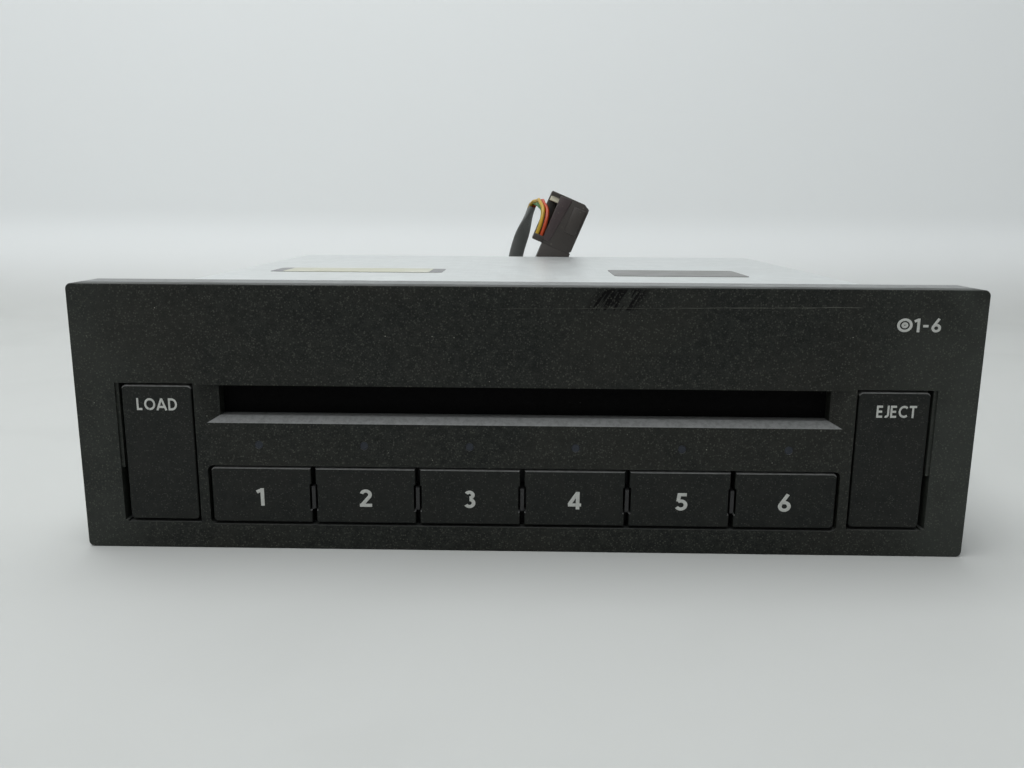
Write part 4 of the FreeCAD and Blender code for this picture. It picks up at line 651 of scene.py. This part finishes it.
def zinc_sheet():
    """Pale zinc-coated sheet: soft spangles, rolling lines, fine scuffs and a little dust."""
    finish = Finish("zinc sheet", (0.66, 0.68, 0.675), 0.34, 0.85)
    tree = finish.tree
    spangle = put(tree, "ShaderNodeTexVoronoi", {"Vector": finish.where, "Scale": 230.0})
    tone = put(tree, "ShaderNodeSeparateColor", {"Color": spangle.outputs["Color"]})
    finish.lay(tone.outputs["Red"], (0.73, 0.75, 0.745), 0.4)
    rolled = noise(tree, turned(tree, finish.where, scale=(60, 1, 60)), 26.0, 3.0)
    finish.lay(ramp(tree, rolled, 0.45, 0.7), (0.60, 0.62, 0.615), 0.3)
    finish.lay(finish.group(SMEARS, Scale=26.0), (0.60, 0.61, 0.60), 0.25)
    finish.grain(420.0, (0.62, 0.635, 0.63), 0.4)
    scuffs = finish.group(SCUFFS, Scale=60.0, Amount=0.28)
    finish.lay(scuffs, (0.84, 0.85, 0.84), 0.4)
    finish.dust(420.0, 0.16, 0.22, (0.36, 0.35, 0.32), 0.5)
    finish.polish(tone.outputs["Green"], 0.08)
    finish.polish(finish.group(SMEARS, Scale=14.0), 0.035)
    finish.bump(rolled, 0.006 * MM)
    finish.bump(scuffs, -0.01 * MM)
    return finish.done()


def turned_steel(name, colour, roughness, grime=0.35):
    """Plated steel of screws, shafts and motor cans, with fine marks and grime."""
    finish = Finish(name, colour, roughness, 1.0)
    darker = tuple(0.62 * part for part in colour)
    finish.lay(finish.group(SMEARS, Scale=240.0), darker, grime)
    finish.grain(1600.0, tuple(1.1 * c for c in colour), 0.5)
    scuffs = finish.group(SCUFFS, Scale=300.0, Amount=0.4)
    finish.polish(scuffs, 0.15)
    finish.bump(scuffs, -0.01 * MM)
    return finish.done()


def circuit_board():
    """Green lacquer over copper runs, with tinned pads."""
    finish = Finish("circuit board", (0.008, 0.075, 0.026), 0.35)
    tree = finish.tree
    runs = put(tree, "ShaderNodeTexBrick", {"Vector": finish.where, "Scale": 160.0,
                                            "Mortar Size": 0.07, "Brick Width": 2.3,
                                            "Row Height": 0.32})
    finish.lay(runs.outputs["Fac"], (0.02, 0.13, 0.045), 0.9)
    finish.dust(280.0, 0.32, 0.4, (0.55, 0.54, 0.5), 0.9)
    finish.bump(runs.outputs["Fac"], 0.03 * MM)
    return finish.done()


def rubber(name, colour):
    finish = Finish(name, colour, 0.68)
    finish.grain(1200.0, tuple(1.7 * c for c in colour), 0.7)
    finish.dust(600.0, 0.3, 0.25, (0.14, 0.135, 0.12), 0.45)
    finish.pit(2400.0, 0.04 * MM)
    return finish.done()


def lens_glass():
    finish = Finish("lens glass", (0.42, 0.38, 0.60), 0.04)
    finish.lay(finish.group(SMEARS, Scale=500.0), (0.30, 0.42, 0.55), 0.5)
    finish.shader.inputs["Transmission Weight"].default_value = 0.6
    finish.shader.inputs["IOR"].default_value = 1.5
    return finish.done()


def sleeve_cloth():
    """Woven sleeve: strands that run both ways round, read from the tube's own UV map."""
    # The grey colours are painted sheen: the braid itself is black, its gloss laid into the colour.
    finish = Finish("sleeve cloth", (0.100, 0.106, 0.102), 0.78)
    tree = finish.tree
    uv = put(tree, "ShaderNodeUVMap", uv_map="UVMap").outputs[0]
    axes = put(tree, "ShaderNodeSeparateXYZ", {"Vector": uv})
    threads = None
    for way in (1.0, -1.0):
        run = calc(tree, "MULTIPLY_ADD", axes.outputs["Y"], way * BRAID_STRANDS / BRAID_PITCH,
                   calc(tree, "MULTIPLY", axes.outputs["X"], BRAID_STRANDS))
        fibre = calc(tree, "SINE", calc(tree, "MULTIPLY", run, 2 * math.pi * BRAID_FIBRES))
        threads = fibre if threads is None else calc(tree, "MAXIMUM", threads, fibre)
    finish.lay(ramp(tree, threads, -0.2, 1.0), (0.150, 0.156, 0.148), 0.8)
    finish.dust(900.0, 0.35, 0.2, (0.16, 0.15, 0.13), 0.5)
    finish.bump(threads, 0.03 * MM)
    finish.shader.inputs["Sheen Weight"].default_value = 0.25
    return finish.done()


def wire_plastic(name, colour):
    finish = Finish("wire " + name, colour, 0.36)
    finish.grain(900.0, tuple(0.8 * c for c in colour), 0.5)
    finish.lay(finish.group(SMEARS, Scale=200.0), tuple(0.5 * c + 0.01 for c in colour), 0.35)
    finish.polish(finish.group(SMEARS, Scale=300.0), 0.15)
    return finish.done()


def connector_plastic(name, colour, roughness=0.42):
    finish = Finish(name, colour, roughness)
    finish.grain(1100.0, tuple(1.45 * c for c in colour), 0.6)
    finish.dust(700.0, 0.3, 0.2, (0.16, 0.15, 0.12), 0.5)
    finish.lay(finish.group(SCUFFS, Scale=260.0, Amount=0.3), tuple(2.2 * c for c in colour), 0.5)
    # Dust and painted top light: a paler colour on the faces that look up.
    dust_and_top_light = tuple(0.6 * c + 0.09 for c in colour)
    finish.lay(finish.group(SETTLED_AND_TOP_LIGHT, Scale=500.0, From=-0.1, To=0.9), dust_and_top_light, 0.7)
    finish.pit(2200.0, 0.03 * MM)
    return finish.done()


def label_paper(name, colour, stain):
    """Bare label: soft paper mottling, smeared stains, scuffs and a slightly uneven face."""
    finish = Finish(name, colour, 0.5)
    finish.grain(500.0, tuple(0.93 * c for c in colour), 0.8)
    finish.lay(finish.group(SMEARS, Scale=55.0), stain, 0.55)
    finish.lay(finish.group(SCUFFS, Scale=90.0, Amount=0.3), tuple(0.6 * c for c in colour), 0.5)
    finish.bump(finish.group(SMEARS, Scale=80.0), 0.05 * MM)
    return finish.done()


# ---------------------------------------------------------------- CAD nodes and finishes

def finish_cad_nodes():
    """Every CAD node gets the finish of its record slot."""
    finishes = {
        "bezel_plastic": bezel_plastic(),
        "key_plastic": key_plastic(),
        "light_guide": clear_plastic(),
        "inner_plastic": inner_plastic(),
        "tray_plastic": tray_plastic(),
        "gear_nylon": gear_nylon(),
        "zinc_sheet": zinc_sheet(),
        "screw_steel": turned_steel("screw steel", (0.55, 0.55, 0.52), 0.32),
        "circuit_board": circuit_board(),
        "motor_can": turned_steel("motor can", (0.50, 0.50, 0.51), 0.28),
        "pinion_brass": turned_steel("pinion brass", (0.72, 0.50, 0.20), 0.26),
        "roller_rubber": rubber("roller rubber", (0.016, 0.016, 0.016)),
        "lens_glass": lens_glass(),
        "spring_steel": turned_steel("spring steel", (0.36, 0.35, 0.33), 0.34),
        "grommet_rubber": rubber("grommet rubber", (0.013, 0.013, 0.013)),
        "sleeve_cloth": sleeve_cloth(),
        "wire_insulation": wire_plastic("black", WIRE_COLOURS["black"]),
        "connector_plastic": connector_plastic("connector housing", (0.026, 0.021, 0.017)),
    }
    for part in frame["record"]["subparts"]:
        node = frame["nodes"][part["node"]]
        node.data.materials.clear()
        node.data.materials.append(finishes[part["material_slot"]])
    frame["nodes"]["slot_flap"].data.materials[0] = flap_felt()
    return finishes


# ---------------------------------------------------------------- print on the front

def arc(centre_x, centre_y, radius, from_degrees, to_degrees):
    """Points of a round stroke of a figure."""
    steps = max(4, int(abs(to_degrees - from_degrees) / 10))
    angles = [math.radians(from_degrees + (to_degrees - from_degrees) * i / steps)
              for i in range(steps + 1)]
    return [(centre_x + radius * math.cos(a), centre_y + radius * math.sin(a)) for a in angles]


# Strokes' centre lines in units of the height, from 0 to 1 with the ink's own width
HALF_INK = STROKE / 2
INK_TOP = 1 - HALF_INK
ROUND = 0.5 - HALF_INK
FIGURES = {
    "1": [[(0.27, 0.0), (0.27, 1.0)], [(0.0, 0.78), (0.27, 0.92)]],
    "2": [arc(0.30, 0.70, 0.30 - HALF_INK, 165, -38) + [(0.10, 0.10)],
          [(0.0, HALF_INK), (0.60, HALF_INK)]],
    "3": [arc(0.27, 0.745, 0.255 - HALF_INK, 150, -90),
          arc(0.27, 0.29, 0.29 - HALF_INK, 90, -150)],
    "4": [[(0.47, 0.0), (0.47, 1.0)], [(0.45, 0.94), (0.06, 0.27)],
          [(0.0, 0.25), (0.64, 0.25)]],
    "5": [[(0.12, INK_TOP), (0.54, INK_TOP)], [(0.19, 0.98), (0.13, 0.52)],
          arc(0.27, 0.32, 0.32 - HALF_INK, 128, -150)],
    "6": [arc(0.31, 0.31, 0.31 - HALF_INK, 0, 360), [(0.46, 1.0), (0.12, 0.42)]],
    "L": [[(HALF_INK, 1.0), (HALF_INK, 0.0)], [(HALF_INK, HALF_INK), (0.50, HALF_INK)]],
    "O": [arc(0.5, 0.5, ROUND, 0, 360)],
    "A": [[(0.05, 0.0), (0.46, 0.97)], [(0.87, 0.0), (0.46, 0.97)], [(0.2, 0.28), (0.72, 0.28)]],
    "D": [[(HALF_INK, 0.0), (HALF_INK, 1.0)],
          [(HALF_INK, INK_TOP)] + arc(0.30, 0.5, ROUND, 90, -90) + [(HALF_INK, HALF_INK)]],
    "E": [[(HALF_INK, 0.0), (HALF_INK, 1.0)], [(HALF_INK, INK_TOP), (0.55, INK_TOP)],
          [(HALF_INK, 0.5), (0.51, 0.5)], [(HALF_INK, HALF_INK), (0.55, HALF_INK)]],
    "J": [[(0.32, 1.0)] + arc(0.13, 0.28, 0.19, 0, -120)],
    "C": [arc(0.5, 0.5, ROUND, 48, 312)],
    "T": [[(0.0, INK_TOP), (0.66, INK_TOP)], [(0.33, INK_TOP), (0.33, 0.0)]],
    "-": [[(0.10, 0.45), (0.44, 0.45)]],
    "disc": [arc(0.5, 0.5, ROUND, 0, 360), arc(0.5, 0.5, 0.13, 0, 360)],
}


def ink_stroke(points, shift):
    """One stroke: a round line along its points, to be pressed flat later."""
    closed = math.dist(points[0], points[-1]) < 1e-6
    line = points[:-1] if closed else points
    data = bpy.data.curves.new("stroke", "CURVE")
    data.dimensions = "3D"
    spline = data.splines.new("POLY")
    spline.points.add(len(line) - 1)
    for knot, (x, z) in zip(spline.points, line):
        knot.co = (x + shift, 0, z, 1)
    spline.use_cyclic_u = closed
    data.bevel_depth = HALF_INK
    data.bevel_resolution = 2
    data.use_fill_caps = True
    return add("stroke", data)


def print_word(name, letters, x_span, z_span, face_y, material, body):
    """Raised print on a face that looks towards -Y; one x alone keeps the letters' shape."""
    shift = 0.0
    strokes = []
    for letter in letters:
        strokes += [ink_stroke(points, shift) for points in FIGURES[letter]]
        shift += LETTER_GAP + HALF_INK + max(x for points in FIGURES[letter] for x, _ in points)
    deselect_all()
    for stroke in strokes:
        stroke.select_set(True)
    bpy.context.view_layer.objects.active = strokes[0]
    bpy.ops.object.convert(target="MESH")
    piece = join(name, strokes)
    xs = [v.co.x for v in piece.data.vertices]
    scale_z = z_span[1] - z_span[0]
    scale_x = scale_z * DIGIT_BROAD
    if x_span[1] > x_span[0]:
        scale_x = (x_span[1] - x_span[0]) / (max(xs) - min(xs))
    middle = Vector(((x_span[0] + x_span[1]) / 2, face_y, z_span[0]))
    centred = Matrix.Translation((-(min(xs) + max(xs)) / 2, 0, 0))
    sized = Matrix.Diagonal((scale_x, PRINT_PROUD / HALF_INK, scale_z, 1))
    place(piece, Matrix.Translation(middle) @ sized @ centred)
    activate(piece)
    bpy.ops.object.shade_smooth_by_angle(angle=math.radians(50))
    return dress(piece, material, body)


def print_keys(ink):
    """Figures on the six disc keys and words on the two end keys."""
    for index in range(1, 7):
        key = "disc_key_%d" % index
        low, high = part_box(key)
        middle = (low.x + high.x) / 2 + DIGIT_SHIFT.get(str(index), 0.0)
        print_word("figure_%d" % index, str(index), (middle, middle), DIGIT_Z, low.y, ink,
                   key)
    print_word("load_word", "LOAD", LOAD_X, WORD_Z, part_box("load_key")[0].y, ink,
               "load_key")
    print_word("eject_word", "EJECT", EJECT_X, WORD_Z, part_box("eject_key")[0].y, ink,
               "eject_key")
    print_word("disc_numbers", ["disc", "1", "-", "6"], SIGN_X, SIGN_Z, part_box("bezel")[0].y,
               ink, "case")


# ---------------------------------------------------------------- labels on the lid

def lid_label(name, x_span, y_span, material, thickness, corner):
    """A bare label with round corners on the lid."""
    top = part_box("top_cover")[1].z
    piece = start_box(name, (x_span[0], y_span[0], top), (x_span[1], y_span[1], top + thickness))
    select_edges(piece, lambda a, b: abs(a.z - b.z) > thickness / 2)
    bpy.ops.mesh.bevel(offset=corner, segments=6)
    leave_edit()
    return dress(piece, material, "case")


def label_lid():
    """Two bare labels; the left one is an olive strip on a longer dark backing."""
    strip = label_paper("olive label", (0.45, 0.45, 0.355), (0.52, 0.52, 0.46))
    ends = label_paper("label ends", (0.17, 0.17, 0.18), (0.24, 0.24, 0.23))
    grey = label_paper("grey label", (0.20, 0.20, 0.195), (0.13, 0.13, 0.12))
    lid_label("label_ends", LABEL_ENDS_X, LABEL_Y, ends, 0.08 * MM, 2 * MM)
    lid_label("olive_label", OLIVE_X, LABEL_Y, strip, 0.13 * MM, 0.8 * MM)
    lid_label("grey_label", GREY_X, GREY_Y, grey, 0.15 * MM, 1.5 * MM)


# ---------------------------------------------------------------- the lead

def route_curve(name, points, diameter):
    """A smooth spline with the route's points as its control points."""
    data = bpy.data.curves.new(name, "CURVE")
    data.dimensions = "3D"
    spline = data.splines.new("NURBS")
    spline.points.add(len(points) - 1)
    for knot, spot in zip(spline.points, points):
        knot.co = (*spot, 1)
    spline.order_u = 3
    spline.use_endpoint_u = True
    spline.resolution_u = 24
    data.resolution_u = 24
    data.bevel_depth = diameter / 2
    data.bevel_resolution = 6
    data.use_fill_caps = True
    return add(name, data)


def centre_line(points):
    """Points read along the route's smooth spline."""
    curve = route_curve("line", points, 0.0)
    mesh = bpy.data.meshes.new_from_object(curve)
    line = [v.co.copy() for v in mesh.vertices]
    bpy.data.objects.remove(curve)
    bpy.data.meshes.remove(mesh)
    return line


def even_steps(line, step):
    """Points at even distances along a line, both ends kept."""
    lengths = [0.0]
    for a, b in zip(line, line[1:]):
        lengths.append(lengths[-1] + (b - a).length)
    count = max(2, round(lengths[-1] / step))
    result = []
    at = 0
    for i in range(count + 1):
        wanted = lengths[-1] * i / count
        while at < len(line) - 2 and lengths[at + 1] < wanted:
            at += 1
        span = lengths[at + 1] - lengths[at]
        share = 0.0 if span == 0 else (wanted - lengths[at]) / span
        result.append(line[at].lerp(line[at + 1], min(1.0, share)))
    return result


def eased(value, span):
    """0 before the span, 1 after it, and smooth between."""
    share = min(1.0, max(0.0, (value - span[0]) / (span[1] - span[0])))
    return share * share * (3 - 2 * share)


def braided_sleeve(cloth):
    """Woven tube, round at the grommet, that goes flat and turns edgeways to the top."""
    line = even_steps(centre_line(SLEEVE_ROUTE), SLEEVE_STEP)
    mesh = bmesh.new()
    uv = mesh.loops.layers.uv.new("UVMap")
    side = Vector((1, 0, 0))
    rings = []
    travel = 0.0
    for i, point in enumerate(line):
        ahead = (line[min(i + 1, len(line) - 1)] - line[max(i - 1, 0)]).normalized()
        side = (side - ahead * side.dot(ahead)).normalized()
        up = ahead.cross(side)
        if i:
            travel += (point - line[i - 1]).length
        half_thick = SLEEVE_D / 2 + (SLEEVE_THICK - SLEEVE_D) / 2 * eased(travel, SLEEVE_FLATTENS)
        twist = Matrix.Rotation(math.pi / 2 * eased(travel, SLEEVE_TWISTS), 3, ahead)
        wide, thin = twist @ side, twist @ up
        ring = []
        for j in range(SLEEVE_SIDES):
            turn = 2 * math.pi * j / SLEEVE_SIDES
            one = BRAID_STRANDS * (turn / 2 + math.pi * travel / BRAID_PITCH)
            other = BRAID_STRANDS * (turn / 2 - math.pi * travel / BRAID_PITCH)
            over = math.cos(one) * math.cos(other)
            height = BRAID_RELIEF * (abs(over) - 1)
            ring.append(mesh.verts.new(point + wide * math.cos(turn) * (SLEEVE_D / 2 + height)
                                       + thin * math.sin(turn) * (half_thick + height)))
        rings.append((ring, travel))
    for (ring, a), (next_ring, b) in zip(rings, rings[1:]):
        for j in range(SLEEVE_SIDES):
            k = (j + 1) % SLEEVE_SIDES
            face = mesh.faces.new((ring[j], ring[k], next_ring[k], next_ring[j]))
            corners = ((j, a), (j + 1, a), (j + 1, b), (j, b))
            for loop, (step, along) in zip(face.loops, corners):
                loop[uv].uv = (step / SLEEVE_SIDES, along)
            face.smooth = True
    mesh.faces.new(reversed(rings[0][0]))
    mesh.faces.new(rings[-1][0])
    data = bpy.data.meshes.new("sleeve")
    mesh.to_mesh(data)
    mesh.free()
    sleeve = add("sleeve", data)
    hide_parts("lead_sleeve")
    return dress(sleeve, cloth, "case"), line


def connector_place():
    """The connector's lower end on its centre line, and its own directions up and across."""
    up = Vector((math.sin(CONNECTOR_TILT), 0, math.cos(CONNECTOR_TILT)))
    across = Vector((math.cos(CONNECTOR_TILT), 0, -math.sin(CONNECTOR_TILT)))
    back_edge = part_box("rear_panel")[1].y
    foot = Vector((CONNECTOR_FOOT_X, back_edge + SEAT_GAP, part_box("rear_socket")[1].z + SEAT_GAP))
    return foot - across * (CONNECTOR_W / 2), up, across


def wire_route(index):
    """One wire from the sleeve's end, over the top and down into the housing's open bay."""
    base, up, across = connector_place()
    column = index % 2
    row = index // 2
    way = (SLEEVE_ROUTE[-1] - SLEEVE_ROUTE[-2]).normalized()
    aside = (column - 0.5) * WIRE_SPACE
    above = (0.5 - row) * WIRE_SPACE
    start = SLEEVE_ROUTE[-1] - way * WIRE_SUNK + Vector((aside, -above, 0))
    over_x, over_y, over_z = WIRE_OVER
    over = SLEEVE_ROUTE[-1] + Vector((over_x + aside, over_y, over_z + above))
    side = -CONNECTOR_W / 2 + WIRE_FOOT_IN + column * WIRE_SPACE
    foot = base + up * (BAY_FLOOR_Z * MM - WIRE_SUNK) + across * side
    foot = foot + Vector((0, WIRE_ROW_Y + row * WIRE_ROW_STEP, 0))
    bend = foot + up * WIRE_BEND_UP
    turn_side = -CONNECTOR_W / 2 - WIRE_TURN_OUT - (1 - column) * WIRE_SPACE
    turn = base + up * (WIRE_TURN_Z + above) + across * turn_side + Vector((0, CONNECTOR_D, 0))
    return [start, start + way * WIRE_RISE, over, turn, bend, foot]


def lead_wires():
    for index, (name, colour) in enumerate(WIRE_COLOURS.items()):
        wire = route_curve("wire_" + name, wire_route(index), WIRE_D)
        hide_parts("lead_wires")
        dress(wire, wire_plastic(name, colour), "case")


def block(name, low, high, edge=0.25):
    """A block with softened edges, from corners in millimetres."""
    piece = start_box(name, Vector(low) * MM, Vector(high) * MM)
    soften(piece, edge * MM)
    return piece


def fit_connector(name, pieces, finish):
    """Joins pieces made upright about the housing's lower end, and leans them in place."""
    piece = join(name, pieces)
    base, _, _ = connector_place()
    place(piece, Matrix.Translation(base) @ Matrix.Rotation(CONNECTOR_TILT, 4, "Y"))
    return dress(piece, finish, "case")


def connector_shell():
    """Main shell: mating mouth on the right, a slanting shoulder, and the bay's walls."""
    shell = start_box("shell", Vector((SHELL_X, 0, SHELL_FOOT_Z)) * MM,
                      Vector((HALF_W, DEPTH, SHELL_TOP_Z)) * MM)
    select_faces(shell, lambda c, n: n.x > 0.9)
    bpy.ops.mesh.inset(thickness=1.3 * MM)
    bpy.ops.mesh.extrude_region_move(TRANSFORM_OT_translate={"value": (-3.0 * MM, 0, 0)})
    right = (HALF_W - NEAR) * MM
    deep = (DEPTH - 1) * MM
    select_edges(shell, lambda a, b: min(a.z, b.z) > (SHELL_TOP_Z - NEAR) * MM
                 and min(a.x, b.x) > right and abs(a.y - b.y) > deep)
    bpy.ops.mesh.bevel(offset=2.5 * MM, segments=1)
    select_edges(shell, lambda a, b: max(a.z, b.z) < (SHELL_FOOT_Z + NEAR) * MM
                 and min(a.x, b.x) > right and abs(a.y - b.y) > deep)
    bpy.ops.mesh.bevel(offset=1.2 * MM, segments=1)
    leave_edit()
    soften(shell, 0.25 * MM)
    return shell


def hooked_cap():
    """Top of the wire bay, with a lip that hooks down at its left end."""
    cap = start_box("cap", Vector((-HALF_W, 0, CAP_Z)) * MM,
                    Vector((BAY_X, DEPTH, SHELL_TOP_Z)) * MM)
    select_faces(cap, lambda c, n: n.x < -0.9)
    bpy.ops.mesh.inset(thickness=0.35 * MM)
    leave_edit()
    soften(cap, 0.35 * MM, 3)
    lip = start_box("lip", Vector((-HALF_W, 2.2, 29.6)) * MM, Vector((-7.2, 10.8, 31.9)) * MM)
    soften(lip, 0.35 * MM, 3)
    return [cap, lip]


def latch_arm():
    """Raised latch on the rear, with a sloped thumb end."""
    high = Vector((6.3, 15.0, 31.0))
    latch = start_box("latch", Vector((0.3, 12.8, 21.0)) * MM, high * MM)
    select_edges(latch, lambda a, b: min(a.z, b.z) > (high.z - NEAR) * MM
                 and min(a.y, b.y) > (high.y - NEAR) * MM)
    bpy.ops.mesh.bevel(offset=1.4 * MM, segments=1)
    leave_edit()
    soften(latch, 0.25 * MM)
    return latch


def connector_housing(plastic):
    pieces = [connector_shell(), *hooked_cap(), latch_arm(),
              block("collar", (-3.8, 0, 0), (HALF_W, 11.8, 12.9)),
              block("bay_floor", (-HALF_W, 0, SHELL_FOOT_Z), (BAY_X, DEPTH, BAY_FLOOR_Z)),
              block("bay_back", (-HALF_W, 10.0, 13.0), (BAY_X, DEPTH, 32.0)),
              block("foot_hook", (-HALF_W, 1.5, BAY_FLOOR_Z), (-7.6, 8.5, 17.2), 0.3),
              block("shoulder", (2.4, -0.5, 20.0), (7.5, 0.9, 30.6), 0.45)]
    for i in range(3):
        z = BAY_FLOOR_Z + 5.6 * i
        pieces.append(block("rib", (-7.6, 12.8, z), (-1.2, 13.6, z + 2.2)))
    for i in range(4):
        x = -2.6 + 2.9 * i
        pieces.append(block("collar_rib", (x, 11.6, 1.2), (x + 1.1, 12.4, 11.6)))
    housing = fit_connector("connector_housing", pieces, plastic)
    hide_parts("lead_connector")
    return housing


def connector_trim():
    """The lock band beside the bay, the cream lock under the cap, and the contacts."""
    band_finish = connector_plastic("connector band", (0.034, 0.022, 0.022), 0.38)
    cream = connector_plastic("connector lock", (0.46, 0.43, 0.33), 0.45)
    high = Vector((-1.4, 0.6, 32.4))
    band = start_box("band", Vector((-4.4, -0.35, 14.0)) * MM, high * MM)
    select_edges(band, lambda a, b: min(a.x, b.x) > (high.x - NEAR) * MM
                 and min(a.z, b.z) > (high.z - NEAR) * MM)
    bpy.ops.transform.translate(value=(2.0 * MM, 0, 0))
    leave_edit()
    soften(band, 0.3 * MM)
    lock = block("lock", (-7.9, 0.4, 29.3), (-3.9, 10.4, 31.3), 0.3)
    contacts = []
    first_y, row_step = 4.3, 4.4
    first_z, run = 15.4, 14.5 / (CONNECTOR_PINS - 1)
    half = 0.5
    for row in range(2):
        for i in range(CONNECTOR_PINS):
            y, z = first_y + row_step * row, first_z + run * i
            contacts.append(block("contact", (5.2, y - half, z - half),
                                  (7.0, y + half, z + half), 0.12))
    return [fit_connector("connector_band", [band], band_finish),
            fit_connector("connector_lock", [lock], cream),
            fit_connector("connector_contacts", contacts,
                          turned_steel("contact tin", (0.62, 0.61, 0.58), 0.3))]


def make_lead(finishes):
    sleeve, line = braided_sleeve(finishes["sleeve_cloth"])
    housing = connector_housing(finishes["connector_plastic"])
    lead_wires()
    trim = connector_trim()


# ---------------------------------------------------------------- stage, lights and camera

def make_stage():
    """Pale floor that curves up into a paler backdrop behind the object."""
    deselect_all()
    middle = (0, FLOOR_BACK - FLOOR_SIZE[1] / 2, CAD_BOX[0].z)
    bpy.ops.mesh.primitive_plane_add(size=1, location=middle)
    floor = rename(bpy.context.object, "floor")
    floor.scale = (*FLOOR_SIZE, 1)
    bpy.ops.object.transform_apply(location=True, rotation=True, scale=True)
    near = 0.01
    select_edges(floor, lambda a, b: min(a.y, b.y) > FLOOR_BACK - near)
    bpy.ops.mesh.extrude_region_move(TRANSFORM_OT_translate={"value": (0, 0, WALL_H)})
    select_edges(floor, lambda a, b: min(a.y, b.y) > FLOOR_BACK - near
                 and max(a.z, b.z) < near)
    bpy.ops.mesh.bevel(offset=SWEEP_R, segments=12)
    leave_edit()
    bpy.ops.object.shade_smooth_by_angle(angle=math.radians(30))
    finish = Finish("floor", (0.50, 0.51, 0.495), 0.75)
    finish.lay(finish.group(SMEARS, Scale=9.0), (0.47, 0.48, 0.465), 0.5)
    tree = finish.tree
    _, _, height = axes_of(finish)
    wall = ramp(tree, height, 0.0, 0.06)
    finish.lay(wall, (0.74, 0.76, 0.76))
    rays = put(tree, "ShaderNodeLightPath")
    seen = calc(tree, "MAXIMUM", rays.outputs["Is Camera Ray"], rays.outputs["Is Glossy Ray"])
    glow = put(tree, "ShaderNodeMix", {"Factor": calc(tree, "MULTIPLY", wall, seen)},
               data_type="RGBA")
    glow.inputs["A"].default_value = (0, 0, 0, 1)
    glow.inputs["B"].default_value = WALL_GLOW
    tree.links.new(glow.outputs["Result"], finish.shader.inputs["Emission Color"])
    finish.shader.inputs["Emission Strength"].default_value = 1.0
    floor.data.materials.append(finish.done())


def make_world():
    """Even light all round, brighter where it is seen and where it is mirrored."""
    world = bpy.data.worlds.new("studio")
    bpy.context.scene.world = world
    world.use_nodes = True
    tree = world.node_tree
    background = tree.nodes["Background"]
    background.inputs["Color"].default_value = (0.94, 0.97, 1.0, 1)
    rays = put(tree, "ShaderNodeLightPath")
    seen = calc(tree, "MAXIMUM", rays.outputs["Is Camera Ray"],
                rays.outputs["Is Transmission Ray"])
    glossy = calc(tree, "MULTIPLY", rays.outputs["Is Glossy Ray"], WORLD_GLOSSY)
    level = calc(tree, "ADD", calc(tree, "MULTIPLY_ADD", seen, WORLD_SEEN, WORLD_LEVEL), glossy)
    tree.links.new(level, background.inputs["Strength"])


def area_lamp(name, spot, aim, size, watts, colour):
    data = bpy.data.lights.new(name, "AREA")
    data.shape = "RECTANGLE"
    data.size, data.size_y = size
    data.energy = watts
    data.color = colour
    lamp = add(name, data)
    lamp.location = spot
    lamp.rotation_mode = "QUATERNION"
    lamp.rotation_quaternion = (Vector(aim) - Vector(spot)).to_track_quat("-Z", "Y")


def make_lights():
    area_lamp("overhead", spot=(-0.2, -0.02, 1.0), aim=(0, 0, 0.03), size=(1.2, 0.9),
              watts=13.5, colour=(0.97, 0.99, 1.0))
    area_lamp("front fill", spot=(-0.5, -1.1, 0.7), aim=(0, -0.09, 0.03), size=(0.7, 0.5),
              watts=1.0, colour=(1, 0.98, 0.95))


def make_camera():
    data = bpy.data.cameras.new("camera")
    data.sensor_width = SENSOR_W
    data.lens = FOCAL_PX / PICTURE_W * SENSOR_W
    data.clip_start = 0.01
    camera = add("camera", data)
    camera.matrix_world = (Matrix.Translation(EYE) @ Matrix.Rotation(LOOK_LEFT, 4, "Z")
                           @ Matrix.Rotation(math.pi / 2 - LOOK_DOWN, 4, "X")
                           @ Matrix.Rotation(CAMERA_ROLL, 4, "Z"))
    bpy.context.scene.camera = camera


make_camera()
finishes = finish_cad_nodes()
make_lead(finishes)
print_keys(key_print())
label_lid()
make_stage()
make_world()
make_lights()
bpy.context.scene.view_settings.view_transform = "Standard"
deselect_all()
